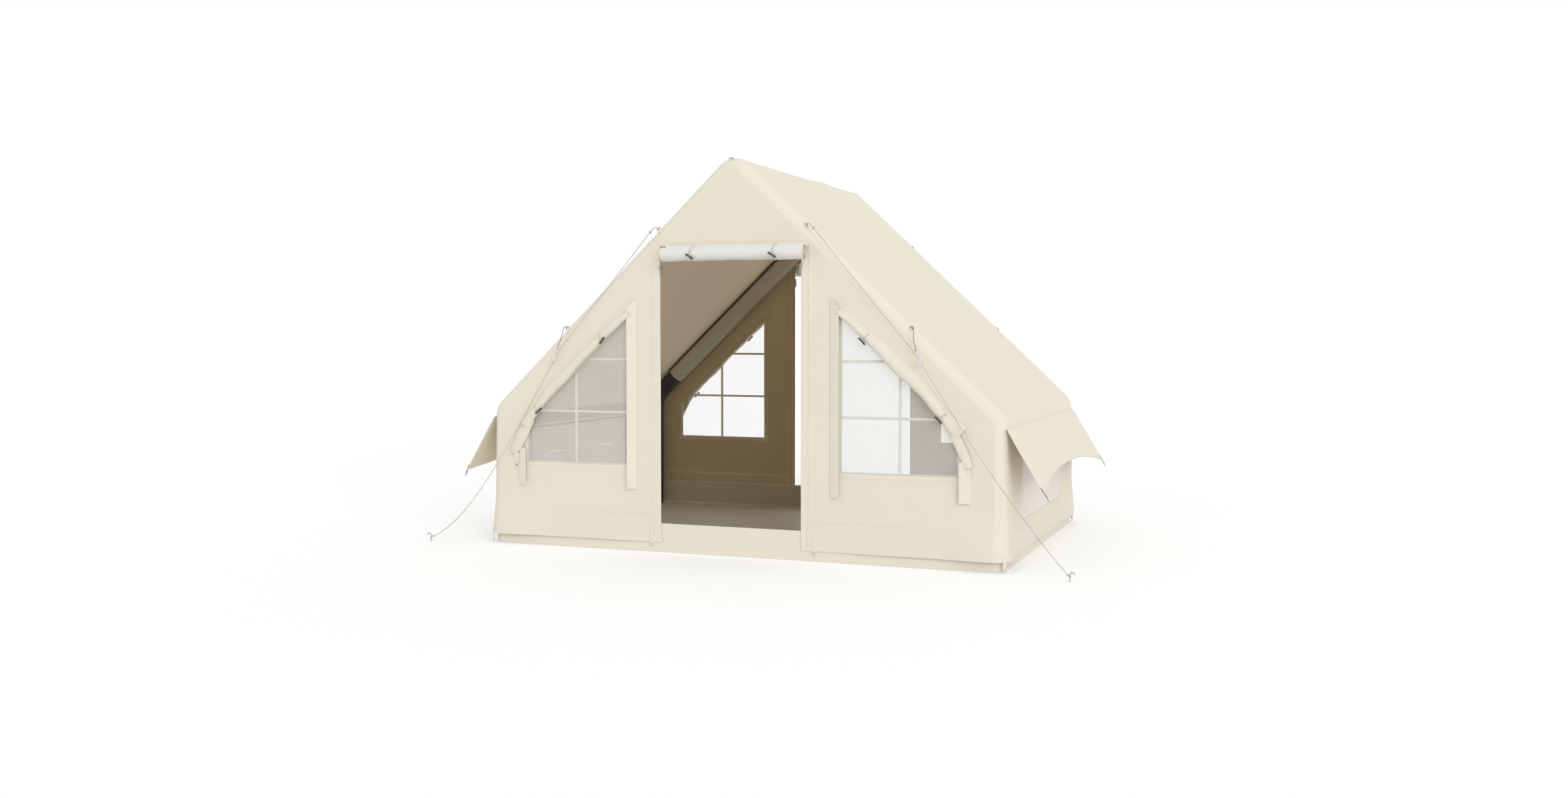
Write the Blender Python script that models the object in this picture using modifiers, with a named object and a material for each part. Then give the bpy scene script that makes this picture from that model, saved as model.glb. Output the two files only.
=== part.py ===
"""Cabin tent carried by two inflated air beams, with a door in each gable.

Metres, +Z up. The tent stands on z = 0 with its ridge along Y, the front gable faces -Y,
and the origin is the middle of the floor. SIDES are -1 left and +1 right as seen from the
front. ENDS are -1 front and +1 rear.
"""

import math

import bmesh
import bpy
from mathutils import Matrix, Vector

GAP = 0.0003                        # between pieces that touch
SIDES = {"left": -1, "right": 1}
ENDS = {"front": -1, "rear": 1}

# Canvas shell, outer faces
HALF_WIDTH = 1.512
HALF_DEPTH = 1.050
ROOF_PITCH = math.radians(43.3)
ROOF_PEAK = 2.218                   # where the two outer slopes would meet
RIDGE_RADIUS = 0.115
EAVE_RADIUS = 0.135
CANVAS = 0.003
HEM_HEIGHT = 0.054

# Groundsheet, a shallow tub inside the walls
TUB_WALL = 0.0025
TUB_HEIGHT = 0.160

# Air beams
BEAM_RADIUS = 0.054
BEAM_SKIN = 0.0012
BEAM_BEND = 0.160                   # centre line at the eave
BEAM_RIDGE_BEND = 0.056             # centre line at the ridge
SLEEVE = 0.0015
SLEEVE_END_X = 1.292                # where a sleeve ends, part of the way down the slope
SPREADER_RADIUS = 0.040
FACET = 0.0013                      # room for the flats of a corner rounded over a beam
BEAM_INSET = CANVAS + GAP + TUB_WALL + GAP + FACET + BEAM_RADIUS
EDGE_RADIUS = BEAM_INSET            # the canvas is rounded over the beam behind it
EDGE_STEPS = 4
GABLE_INSET = EDGE_RADIUS + CANVAS * math.sin(math.pi / 4 / EDGE_STEPS) + GAP

# Doors
DOOR_HALF = 0.414
DOOR_EDGE = {1: 0.4244, -1: 0.4069}  # by end times side, as the door is a little off the middle
DOOR_SHOULDER = 0.045               # flat canvas beside the door's top corners
LINTEL = (ROOF_PEAK - GABLE_INSET / math.cos(ROOF_PITCH)
          - math.tan(ROOF_PITCH) * (DOOR_HALF + DOOR_SHOULDER))
DOOR_ROLL_RADIUS = 0.042
DOOR_ROLL_LEFT = -0.388
DOOR_ROLL_RIGHT = 0.443
DOOR_ROLL_SAG = (0.985, 1.0, 1.0, 0.99, 0.965, 0.985, 1.0, 0.995, 0.97, 0.985, 1.0, 1.0, 0.99)
DOOR_HEAD_LAP = 0.022               # cloth of the rolled door sewn on above the lintel
DOOR_HEAD_CLOTH = 0.006
DOOR_TIE_LEFT = -0.205
DOOR_TIE_RIGHT = 0.275
DOOR_TOGGLE_DROP = math.radians(20)

# Gable windows: an upright inner edge and a head parallel to the roof
WINDOW_INNER = 0.630
WINDOW_OUTER = 1.271
WINDOW_SILL = 0.481
WINDOW_MARGIN = 0.228               # from the roof's slope to the window's head
WINDOW_HEAD = ROOF_PEAK - math.tan(ROOF_PITCH) * WINDOW_INNER - WINDOW_MARGIN / math.cos(ROOF_PITCH)
WINDOW_BAR_X = 0.955
WINDOW_BAR_HEIGHTS = (0.7775, 1.075)
BAR_HALF = 0.006
BAR_PROUD = 0.0020
LEVEL_BAR_PROUD = 0.0016            # the level bars pass under the upright one
FILM = 0.001
FILM_LAP = 0.020                    # film sewn on behind the canvas

# Side windows
SIDE_WINDOW_HALF = 0.600
SIDE_WINDOW_SILL = 0.218
SIDE_WINDOW_MARGIN = 0.095          # from the eave seam to the window's head

# Rolled window covers. Each station is the distance down the window's head, the distance
# off it, and the half width and half thickness of the cloth there.
COVER_ROLL = (
    (-0.030, 0.006, 0.018, 0.018),
    (0.060, 0.016, 0.024, 0.024),
    (0.185, 0.020, 0.024, 0.024),
    (0.300, 0.024, 0.028, 0.026),
    (0.420, 0.024, 0.030, 0.026),
    (0.560, 0.026, 0.031, 0.026),
    (0.690, 0.018, 0.026, 0.024),
    (0.765, 0.008, 0.023, 0.023),
    (0.832, 0.000, 0.031, 0.019),
    (0.880, -0.012, 0.036, 0.013),
    (0.960, -0.046, 0.035, 0.010),
    (1.040, -0.078, 0.026, 0.008),
    (1.085, -0.118, 0.014, 0.006),
    (1.112, -0.165, 0.007, 0.004),
)
COVER_TOGGLES = (2, 7)              # stations that a tie goes round
COVER_TOGGLE_TURN = math.radians(45)
COVER_LAP = 0.030                   # a let down cover laps the window by this
COVER_LIFT = 0.155                  # and its lower edge stops this far above the sill

# Ties and toggles
TIE = 0.003                         # cord round a roll, as it stands proud
TIE_TURN = math.radians(2)          # keeps the tie's facets off the door roll's edges
COVER_TURN = math.radians(14)       # and a cover's edges off its ties' facets
TOGGLE_RADIUS = 0.0055
TOGGLE_LENGTH = 0.050
TOGGLE_EDGE = 0.0015
DOOR_ROLL_HEIGHT = LINTEL - GAP - TIE - DOOR_ROLL_RADIUS
DOOR_TOGGLE_SLANT = math.radians(-35)
COVER_TOGGLE_SLANTS = {1: (12, -12), -1: (-9, 9)}   # degrees, upper and lower, by end times side

# Awnings over the side windows
AWNING_HALF = 1.025
AWNING_TILT = math.radians(30.9)    # out from the wall
AWNING_MIDDLE = 0.285
AWNING_TIP = 0.378
AWNING_CURVE = 2.2                  # how late the lower edge turns down to its points
AWNING_BILLOW = 0.010
AWNING_CLOTH = 0.003

# Door zip sliders, parked at the top of each jamb
SLIDER_DROP = 0.115                 # below the lintel
SLIDER_HEIGHT = LINTEL - SLIDER_DROP
SLIDER_SIZE = (0.014, 0.012, 0.022)
SLIDER_PULL = (0.008, 0.002, 0.034)

# Inflation valves, on the inner side of each beam's left leg
VALVE_HEIGHT = 0.350
VALVE_RADIUS = 0.021
VALVE_REACH = 0.014                 # from the beam's skin to the cap
VALVE_STEM_RADIUS = 0.012
VALVE_STEM_DEPTH = 0.010            # into the beam, past its skin
CAP_RADIUS = 0.024
CAP_HEIGHT = 0.011
CAP_EDGE = 0.002
CAP_GRIP = (0.036, 0.006, 0.006)

# Guy ropes: from a loop high on the front beam through a ring, which a short cord holds to
# a second loop, to a peg on the ground. The right rope is tight, and the left one sags.
LOOP_SIZE = (0.024, 0.006, 0.026)   # along the edge, thickness, out from the canvas
GUY_LOOP_HIGH_X = 0.440
GUY_LOOP_LOW_X = 1.020
ROPE_RADIUS = 0.0025
BRIDLE_RADIUS = 0.0018
ROPE_SPACING = 0.040
RING_CENTRE = (1.0400, -1.0900, 1.1280)
RING_RADIUS = 0.0090
RING_WIRE = 0.0018
ROPE_UPPER = (
    (0.4406, -1.0508, 1.8040),
    (0.4434, -1.0548, 1.8070),
    (0.4560, -1.0585, 1.8040),
    (0.4800, -1.0610, 1.7810),
    (0.6500, -1.0700, 1.5800),
    (0.8600, -1.0810, 1.3370),
    (1.0000, -1.0880, 1.1750),
    (1.0200, -1.0890, 1.1520),
)
ROPE_LOWER = {
    "right": (
        (1.0565, -1.0907, 1.1030),
        (1.0730, -1.0914, 1.0780),
        (1.1060, -1.0928, 1.0280),
        (1.1390, -1.0942, 0.9780),
        (1.1720, -1.0956, 0.9280),
        (1.2050, -1.0970, 0.8780),
        (1.3550, -1.1110, 0.6550),
        (1.5000, -1.1250, 0.4550),
        (1.6400, -1.1400, 0.2780),
        (1.7600, -1.1550, 0.1350),
        (1.8420, -1.1640, 0.0440),
        (1.8580, -1.1658, 0.0262),
    ),
    "left": (
        (1.0550, -1.0907, 1.1030),
        (1.0700, -1.0914, 1.0780),
        (1.1000, -1.0928, 1.0280),
        (1.1300, -1.0942, 0.9780),
        (1.1600, -1.0956, 0.9280),
        (1.1900, -1.0970, 0.8780),
        (1.3000, -1.1100, 0.6850),
        (1.4180, -1.1220, 0.4980),
        (1.5550, -1.1340, 0.3000),
        (1.6900, -1.1470, 0.1450),
        (1.8050, -1.1590, 0.0520),
        (1.8588, -1.1658, 0.0262),
    ),
}
BRIDLE = (
    (1.0205, -1.0508, 1.2574),
    (1.0228, -1.0541, 1.2598),
    (1.0290, -1.0575, 1.2560),
    (1.0325, -1.0650, 1.2350),
    (1.0355, -1.0780, 1.1950),
    (1.0470, -1.0885, 1.1560),
    (1.0525, -1.0906, 1.1395),
    (1.0494, -1.0904, 1.1342),
)
TENSIONER_SIZE = (0.022, 0.008, 0.036)
TENSIONER_CORNER = 0.006
TENSIONER_BORE = 0.0031
TENSIONER_STATION = 1               # point of the lower rope that it sits on
PEG_RADIUS = 0.0035
PEG_FOOT = (1.8640, -1.1664)
PEG_HEIGHT = 0.034
PEG_HOOK = 0.012


def clear_scene():
    for item in list(bpy.data.objects):
        bpy.data.objects.remove(item, do_unlink=True)


def new_collection(name):
    collection = bpy.data.collections.new(name)
    bpy.context.scene.collection.children.link(collection)
    return collection


clear_scene()
TENT = new_collection("cabin_tent")
CUTTERS = new_collection("cutters")


def material(name, colour, roughness, metallic=0.0, alpha=1.0):
    made = bpy.data.materials.new(name)
    made.use_nodes = True
    shader = made.node_tree.nodes["Principled BSDF"]
    shader.inputs["Base Color"].default_value = (*colour, 1.0)
    shader.inputs["Roughness"].default_value = roughness
    shader.inputs["Metallic"].default_value = metallic
    shader.inputs["Alpha"].default_value = alpha
    made.diffuse_color = (*colour, alpha)
    return made


CANVAS_CREAM = material("canvas_cream", (0.83, 0.78, 0.66), 0.85)
ROOF_CREAM = material("roof_cream", (0.86, 0.81, 0.69), 0.80)
GROUNDSHEET_TAUPE = material("groundsheet_taupe", (0.45, 0.41, 0.33), 0.60)
BEAM_CHARCOAL = material("beam_charcoal", (0.05, 0.05, 0.06), 0.45)
SLEEVE_TAUPE = material("sleeve_taupe", (0.35, 0.32, 0.26), 0.80)
WINDOW_FILM = material("window_film", (0.70, 0.70, 0.66), 0.20, alpha=0.45)
SIDE_MESH = material("side_mesh", (0.62, 0.58, 0.56), 0.70, alpha=0.75)
DOOR_WHITE = material("door_white", (0.82, 0.81, 0.78), 0.80)
TOGGLE_GREY = material("toggle_grey", (0.09, 0.10, 0.12), 0.40)
ZIP_METAL = material("zip_metal", (0.45, 0.42, 0.36), 0.35, metallic=1.0)
VALVE_BLACK = material("valve_black", (0.03, 0.03, 0.03), 0.40)
ROPE_CREAM = material("rope_cream", (0.72, 0.68, 0.60), 0.80)
FITTING_WHITE = material("fitting_white", (0.80, 0.79, 0.75), 0.35)
PEG_STEEL = material("peg_steel", (0.55, 0.56, 0.58), 0.30, metallic=1.0)


def add_object(name, mesh, finish, collection=TENT):
    made = bpy.data.objects.new(name, mesh)
    collection.objects.link(made)
    mesh.materials.clear()
    mesh.materials.append(finish)
    return made


def add_cutter(name, mesh):
    cutter = bpy.data.objects.new(name, mesh)
    CUTTERS.objects.link(cutter)
    cutter.hide_render = True
    cutter.display_type = "WIRE"
    return cutter


def boolean(target, other, operation):
    modifier = target.modifiers.new(operation.lower(), "BOOLEAN")
    modifier.operation = operation
    modifier.object = other
    modifier.solver = "EXACT"


def mesh_of(bm, name, smooth_angle=None):
    """Turn the bmesh's faces outwards and hand it over as a mesh."""
    bmesh.ops.recalc_face_normals(bm, faces=bm.faces)
    if bm.calc_volume(signed=True) < 0:
        bmesh.ops.reverse_faces(bm, faces=bm.faces)
    mesh = bpy.data.meshes.new(name)
    bm.to_mesh(mesh)
    bm.free()
    if smooth_angle is not None:
        mesh.shade_smooth()
        mesh.set_sharp_from_angle(angle=smooth_angle)
    return mesh


def mesh_of_curve(curve, name, place, smooth_angle=None):
    """Turn a curve into a mesh with its caps welded on."""
    holder = bpy.data.objects.new(name, curve)
    holder.matrix_world = place
    TENT.objects.link(holder)
    bpy.context.view_layer.update()
    graph = bpy.context.evaluated_depsgraph_get()
    raw = bpy.data.meshes.new_from_object(holder.evaluated_get(graph))
    bm = bmesh.new()
    bm.from_mesh(raw)
    bm.transform(place)
    bmesh.ops.remove_doubles(bm, verts=bm.verts, dist=1e-6)
    bpy.data.objects.remove(holder, do_unlink=True)
    bpy.data.meshes.remove(raw)
    return mesh_of(bm, name, smooth_angle)


def tube_mesh(name, points, radius, resolution, caps=True, shares=None):
    """A round tube along the points. Shares give each point its own part of the radius."""
    curve = bpy.data.curves.new(name, "CURVE")
    curve.dimensions = "3D"
    curve.bevel_depth = radius
    curve.bevel_resolution = resolution
    curve.use_fill_caps = caps
    spline = curve.splines.new("POLY")
    spline.points.add(len(points) - 1)
    for spot, point, share in zip(spline.points, points, shares or [1.0] * len(points)):
        spot.co = (*point, 1.0)
        spot.radius = share
    return mesh_of_curve(curve, name, Matrix.Identity(4), math.radians(50))


def panel_mesh(name, outlines, near, far):
    """A flat sheet from y = near to y = far. The first outline is its edge, the others
    are holes, and all are (x, z) points."""
    curve = bpy.data.curves.new(name, "CURVE")
    curve.dimensions = "2D"
    curve.fill_mode = "BOTH"
    curve.extrude = abs(far - near) / 2
    for outline in outlines:
        spline = curve.splines.new("POLY")
        spline.points.add(len(outline) - 1)
        spline.use_cyclic_u = True
        for spot, (x, z) in zip(spline.points, outline):
            spot.co = (x, z, 0.0, 1.0)
    upright = Matrix.Translation((0, (near + far) / 2, 0)) @ Matrix.Rotation(math.pi / 2, 4, "X")
    return mesh_of_curve(curve, name, upright)


def box_mesh(name, low, high, place=None):
    bm = bmesh.new()
    size = Vector(high) - Vector(low)
    middle = (Vector(high) + Vector(low)) / 2
    bmesh.ops.create_cube(bm, size=1.0)
    bmesh.ops.scale(bm, vec=size, verts=bm.verts)
    bmesh.ops.translate(bm, vec=middle, verts=bm.verts)
    if place is not None:
        bm.transform(place)
    return mesh_of(bm, name)


def axis_frame(centre, direction, across=(0, 0, 1)):
    """A matrix whose Z runs along direction and whose X lies nearest to across."""
    z = Vector(direction).normalized()
    x = Vector(across) - z * z.dot(Vector(across))
    x.normalize()
    y = z.cross(x)
    turn = Matrix((x, y, z)).transposed().to_4x4()
    return Matrix.Translation(centre) @ turn


def disc_mesh(name, radius, low, high, sides, bevel=0.0):
    """A round bar on the Z axis from z = low to z = high."""
    bm = bmesh.new()
    bmesh.ops.create_cone(bm, cap_ends=True, segments=sides, radius1=radius, radius2=radius,
                          depth=high - low)
    bmesh.ops.translate(bm, vec=(0, 0, (low + high) / 2), verts=bm.verts)
    if bevel > 0:
        rims = [e for e in bm.edges if any(len(f.verts) > 4 for f in e.link_faces)]
        bmesh.ops.bevel(bm, geom=rims, offset=bevel, segments=2, profile=0.5, affect="EDGES",
                        offset_type="OFFSET", clamp_overlap=True)
    return mesh_of(bm, name, math.radians(40))


def ring_mesh(name, major, minor, place, major_sides, minor_sides):
    """A torus round the Z axis of the frame it is placed by."""
    bpy.ops.mesh.primitive_torus_add(major_segments=major_sides, minor_segments=minor_sides,
                                     major_radius=major, minor_radius=minor)
    holder = bpy.context.object
    bm = bmesh.new()
    bm.from_mesh(holder.data)
    bpy.data.objects.remove(holder, do_unlink=True)
    bm.transform(place)
    return mesh_of(bm, name, math.radians(60))


def loft_mesh(name, rings):
    """A closed skin through rings of points, with flat ends."""
    bm = bmesh.new()
    loops = [[bm.verts.new(point) for point in ring] for ring in rings]
    for first, second in zip(loops, loops[1:]):
        for i in range(len(first)):
            j = (i + 1) % len(first)
            bm.faces.new((first[i], first[j], second[j], second[i]))
    bm.faces.new(loops[0])
    bm.faces.new(loops[-1])
    return mesh_of(bm, name, math.radians(60))


def sheet_object(name, rows, thickness, offset, finish):
    """A sheet of cloth through rows of points, thickened by Solidify."""
    bm = bmesh.new()
    bmesh.ops.create_grid(bm, x_segments=len(rows[0]) - 1, y_segments=len(rows) - 1, size=1.0)
    bm.verts.ensure_lookup_table()
    for vert, point in zip(bm.verts, [point for row in rows for point in row]):
        vert.co = point
    mesh = bpy.data.meshes.new(name)
    bm.to_mesh(mesh)
    bm.free()
    mesh.shade_smooth()
    mesh.set_sharp_from_angle(angle=math.radians(50))
    made = add_object(name, mesh, finish)
    shell = made.modifiers.new("cloth", "SOLIDIFY")
    shell.thickness = thickness
    shell.offset = offset
    shell.use_even_offset = True
    return made


def pitched_peak(inset):
    """Height at which the two roof slopes would meet, inset from the outer canvas."""
    return ROOF_PEAK - inset / math.cos(ROOF_PITCH)


def slope_x(height, inset):
    """The right slope's x at a height, inset from the outer canvas."""
    return (pitched_peak(inset) - height) / math.tan(ROOF_PITCH)


def half_outline(half_width, peak, ridge_radius, eave_radius, foot, eave_steps, ridge_steps):
    """Points and outward normals of a house outline, from its right foot to the ridge."""
    full = math.pi / 2 - ROOF_PITCH
    eave_x = half_width - eave_radius
    eave_z = peak - math.tan(ROOF_PITCH) * eave_x - eave_radius / math.cos(ROOF_PITCH)
    ridge_z = peak - ridge_radius / math.cos(ROOF_PITCH)
    stations = []
    if foot < eave_z:
        stations.append(((half_width, foot), (1.0, 0.0)))
    for step in range(eave_steps + 1):
        turn = full * step / eave_steps
        normal = (math.cos(turn), math.sin(turn))
        stations.append(((eave_x + eave_radius * normal[0], eave_z + eave_radius * normal[1]), normal))
    for step in range(ridge_steps + 1):
        turn = full + (math.pi / 2 - full) * step / ridge_steps
        normal = (math.cos(turn), math.sin(turn))
        stations.append(((ridge_radius * normal[0], ridge_z + ridge_radius * normal[1]), normal))
    return stations


def whole_outline(stations):
    """Add the left half, as the right one's mirror image."""
    left = [((-p[0], p[1]), (-n[0], n[1])) for p, n in stations]
    return stations + left[-2::-1]


def inset_points(stations, inset):
    return [(p[0] - inset * n[0], p[1] - inset * n[1]) for p, n in stations]


EAVE_STEPS = 4
CANVAS_HALF = half_outline(HALF_WIDTH, ROOF_PEAK, RIDGE_RADIUS, EAVE_RADIUS, HEM_HEIGHT, EAVE_STEPS, 4)
SEAM_HEIGHT = CANVAS_HALF[1][0][1]  # foot of the eave, where roof, wall and awning meet
SEAM_LIP = CANVAS * math.sin((math.pi / 2 - ROOF_PITCH) / 2 / EAVE_STEPS)
SIDE_WINDOW_HEAD = SEAM_HEIGHT - SIDE_WINDOW_MARGIN
BEAM_HALF = half_outline(HALF_WIDTH - BEAM_INSET, pitched_peak(BEAM_INSET), BEAM_RIDGE_BEND,
                         BEAM_BEND, TUB_WALL + GAP, 5, 3)


def edge_section():
    """Places along Y, and how far the canvas is drawn in there over the beams."""
    straight = HALF_DEPTH - EDGE_RADIUS
    front = []
    for step in range(EDGE_STEPS + 1):
        turn = math.pi / 2 * (1 - step / EDGE_STEPS)
        front.append((-straight - EDGE_RADIUS * math.sin(turn), EDGE_RADIUS * (1 - math.cos(turn))))
    rear = [(-y, inset) for y, inset in reversed(front)]
    return front + [(0.0, 0.0)] + rear


def shell_rows(stations, section):
    rows = []
    for point, normal in stations:
        rows.append([(point[0] - d * normal[0], y, point[1] - d * normal[1]) for y, d in section])
    return rows


def rounded_rectangle(half_x, half_y, radius, steps):
    points = []
    for corner in range(4):
        start = corner * math.pi / 2
        cx = (half_x - radius) * (1 if corner in (0, 3) else -1)
        cy = (half_y - radius) * (1 if corner in (0, 1) else -1)
        for step in range(steps + 1):
            turn = start + math.pi / 2 * step / steps
            points.append((cx + radius * math.cos(turn), cy + radius * math.sin(turn)))
    return points


# Groundsheet
def make_groundsheet():
    """A floor with low upright walls, its corners rounded like the canvas outside it."""
    clear = CANVAS + GAP
    outline = rounded_rectangle(HALF_WIDTH - clear, HALF_DEPTH - clear, EDGE_RADIUS - clear, 4)
    bm = bmesh.new()
    floor = bm.faces.new([bm.verts.new((x, y, 0.0)) for x, y in outline])
    walls = bmesh.ops.extrude_edge_only(bm, edges=floor.edges[:])
    raised = [item for item in walls["geom"] if isinstance(item, bmesh.types.BMVert)]
    bmesh.ops.translate(bm, vec=(0, 0, TUB_HEIGHT), verts=raised)
    bmesh.ops.recalc_face_normals(bm, faces=bm.faces)
    if floor.normal.z > 0:
        bmesh.ops.reverse_faces(bm, faces=bm.faces)
    mesh = bpy.data.meshes.new("groundsheet")
    bm.to_mesh(mesh)
    bm.free()
    made = add_object("groundsheet", mesh, GROUNDSHEET_TAUPE)
    shell = made.modifiers.new("sheet", "SOLIDIFY")
    shell.thickness = TUB_WALL
    shell.offset = -1.0
    shell.use_even_offset = True


# Roof, with the loops that the guy ropes are tied to
def loop_frame(x, end):
    """Frame of a guy loop, whose Z leaves the beam's rounded edge half way round it."""
    side = 1 if x > 0 else -1
    normal = (side * math.sin(ROOF_PITCH), math.cos(ROOF_PITCH))
    along = (side * math.cos(ROOF_PITCH), 0, -math.sin(ROOF_PITCH))
    lean = math.pi / 4
    inset = EDGE_RADIUS * (1 - math.cos(lean))
    z = ROOF_PEAK - math.tan(ROOF_PITCH) * abs(x)
    base = (x - inset * normal[0], end * (HALF_DEPTH - EDGE_RADIUS + EDGE_RADIUS * math.sin(lean)),
            z - inset * normal[1])
    out = (normal[0] * math.cos(lean), end * math.sin(lean), normal[1] * math.cos(lean))
    return axis_frame(base, out, along)


def make_roof():
    stations = [s for s in CANVAS_HALF if s[0][1] >= SEAM_HEIGHT]
    roof = sheet_object("roof", shell_rows(whole_outline(stations), edge_section()), CANVAS, -1.0,
                        ROOF_CREAM)
    length, thick, reach = LOOP_SIZE
    bm = bmesh.new()
    for end in ENDS.values():
        for x in (GUY_LOOP_HIGH_X, GUY_LOOP_LOW_X):
            for side in SIDES.values():
                made = bmesh.ops.create_cube(bm, size=1.0)
                bmesh.ops.scale(bm, vec=(length, thick, reach + CANVAS / 2), verts=made["verts"])
                bmesh.ops.translate(bm, vec=(0, 0, reach / 2 - CANVAS / 4), verts=made["verts"])
                bmesh.ops.transform(bm, matrix=loop_frame(side * x, end), verts=made["verts"])
    boolean(roof, add_cutter("guy_loops", mesh_of(bm, "guy_loops")), "UNION")


# Side walls and their windows
def make_side_wall(word, side):
    top = SEAM_HEIGHT - SEAM_LIP - GAP
    stations = [((HALF_WIDTH, HEM_HEIGHT), (1.0, 0.0)), ((HALF_WIDTH, top), (1.0, 0.0))]
    if side < 0:
        stations = [((-p[0], p[1]), (-1.0, 0.0)) for p, n in reversed(stations)]
    wall = sheet_object("side_wall_" + word, shell_rows(stations, edge_section()), CANVAS, -1.0,
                        CANVAS_CREAM)
    hole = box_mesh("side_window_hole", (side * HALF_WIDTH - 0.02, -SIDE_WINDOW_HALF, SIDE_WINDOW_SILL),
                    (side * HALF_WIDTH + 0.02, SIDE_WINDOW_HALF, SIDE_WINDOW_HEAD))
    boolean(wall, add_cutter("side_window_hole_" + word, hole), "DIFFERENCE")
    skin = HALF_WIDTH - CANVAS - GAP
    low = (skin - FILM, -SIDE_WINDOW_HALF - FILM_LAP, SIDE_WINDOW_SILL - FILM_LAP)
    high = (skin, SIDE_WINDOW_HALF + FILM_LAP, SIDE_WINDOW_HEAD + FILM_LAP)
    if side < 0:
        low, high = (-skin, low[1], low[2]), (-skin + FILM, high[1], high[2])
    add_object("side_window_" + word, box_mesh("side_window_" + word, low, high), SIDE_MESH)


# Gable walls
def window_outline(grow=0.0, sill_lift=0.0):
    """Corners of the right gable window, let out by grow on every edge."""
    drop = (WINDOW_OUTER - WINDOW_INNER) * math.tan(ROOF_PITCH)
    head = WINDOW_HEAD + grow / math.cos(ROOF_PITCH)
    inner = WINDOW_INNER - grow
    outer = WINDOW_OUTER + grow
    sill = WINDOW_SILL - grow + sill_lift
    step = grow * math.tan(ROOF_PITCH)
    return [(inner, sill), (outer, sill), (outer, head - drop - step), (inner, head + step)]


def facing(outline, side):
    """The outline on the side it is meant for."""
    return [(side * x, z) for x, z in outline]


def make_gable_wall(end_word, end, side_word, side):
    inner = DOOR_EDGE[end * side]
    outline = [(inner, HEM_HEIGHT)]
    outline += [p for p in inset_points(CANVAS_HALF, GABLE_INSET) if p[1] < LINTEL]
    outline += [(slope_x(LINTEL, GABLE_INSET), LINTEL), (inner, LINTEL)]
    name = f"{end_word}_wall_{side_word}"
    holes = [facing(outline, side), facing(window_outline(), side)]
    mesh = panel_mesh(name, holes, end * HALF_DEPTH, end * (HALF_DEPTH - CANVAS))
    add_object(name, mesh, CANVAS_CREAM)


def make_gable_top(end_word, end):
    foot = LINTEL + GAP
    right = [p for p in inset_points(CANVAS_HALF, GABLE_INSET) if p[1] > foot]
    left = [(-x, z) for x, z in right[-2::-1]]
    corner = slope_x(foot, GABLE_INSET)
    outline = [(corner, foot)] + right + left + [(-corner, foot)]
    name = end_word + "_gable"
    mesh = panel_mesh(name, [outline], end * HALF_DEPTH, end * (HALF_DEPTH - CANVAS))
    add_object(name, mesh, CANVAS_CREAM)


def head_x(height, grow):
    """The window head's x at a height, let out by grow."""
    return WINDOW_INNER + (WINDOW_HEAD + grow / math.cos(ROOF_PITCH) - height) / math.tan(ROOF_PITCH)


def head_z(x, grow):
    return WINDOW_HEAD + grow / math.cos(ROOF_PITCH) - (x - WINDOW_INNER) * math.tan(ROOF_PITCH)


def make_gable_window(end_word, end, side_word, side):
    """Film lapped behind the canvas, with the glazing bars that are sewn on it."""
    name = f"{end_word}_window_{side_word}"
    skin = HALF_DEPTH - CANVAS - GAP
    film = panel_mesh(name, [facing(window_outline(FILM_LAP), side)], end * skin, end * (skin - FILM))
    made = add_object(name, film, WINDOW_FILM)
    left, right = WINDOW_BAR_X - BAR_HALF, WINDOW_BAR_X + BAR_HALF
    upright = [(left, WINDOW_SILL + GAP), (right, WINDOW_SILL + GAP), (right, head_z(right, -GAP)),
               (left, head_z(left, -GAP))]
    bars = [(upright, BAR_PROUD, FILM / 2)]
    for height in WINDOW_BAR_HEIGHTS:
        low, high = height - BAR_HALF, height + BAR_HALF
        ends = [min(head_x(z, -GAP), WINDOW_OUTER - GAP) for z in (low, high)]
        level = [(WINDOW_INNER + GAP, low), (ends[0], low), (ends[1], high), (WINDOW_INNER + GAP, high)]
        bars.append((level, LEVEL_BAR_PROUD, FILM / 3))
    for number, (bar, proud, root) in enumerate(bars):
        mesh = panel_mesh("bar", [facing(bar, side)], end * (skin + proud), end * (skin - root))
        boolean(made, add_cutter(f"{name}_bar_{number}", mesh), "UNION")


# Rolled window covers and their toggles
def cover_station(number, end, side):
    """Centre, direction and sizes of the roll at one of its stations."""
    along, off, wide, thick = COVER_ROLL[number]
    run, rise = math.cos(ROOF_PITCH), math.sin(ROOF_PITCH)
    x = WINDOW_INNER + along * run + off * rise
    z = WINDOW_HEAD - along * rise + off * run
    y = HALF_DEPTH + GAP + TIE + thick
    return Vector((side * x, end * y, z)), wide, thick


def cover_direction(number, end, side):
    before = cover_station(max(number - 1, 0), end, side)[0]
    after = cover_station(min(number + 1, len(COVER_ROLL) - 1), end, side)[0]
    step = after - before
    return Vector((step.x, 0, step.z)).normalized()


def make_rolled_cover(end_word, end, side_word, side):
    name = f"{end_word}_window_cover_{side_word}"
    out = Vector((0, end, 0))
    rings = []
    for number in range(len(COVER_ROLL)):
        centre, wide, thick = cover_station(number, end, side)
        across = cover_direction(number, end, side).cross(out)
        turns = [COVER_TURN + 2 * math.pi * step / 10 for step in range(10)]
        rings.append([centre + across * wide * math.cos(t) + out * thick * math.sin(t) for t in turns])
    made = add_object(name, loft_mesh(name, rings), CANVAS_CREAM)
    for number in COVER_TOGGLES:
        centre, wide, thick = cover_station(number, end, side)
        place = axis_frame(centre, cover_direction(number, end, side))
        tie = ring_mesh("tie", wide, TIE, place, 16, 6)
        boolean(made, add_cutter(f"{name}_tie_{number}", tie), "UNION")


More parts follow.
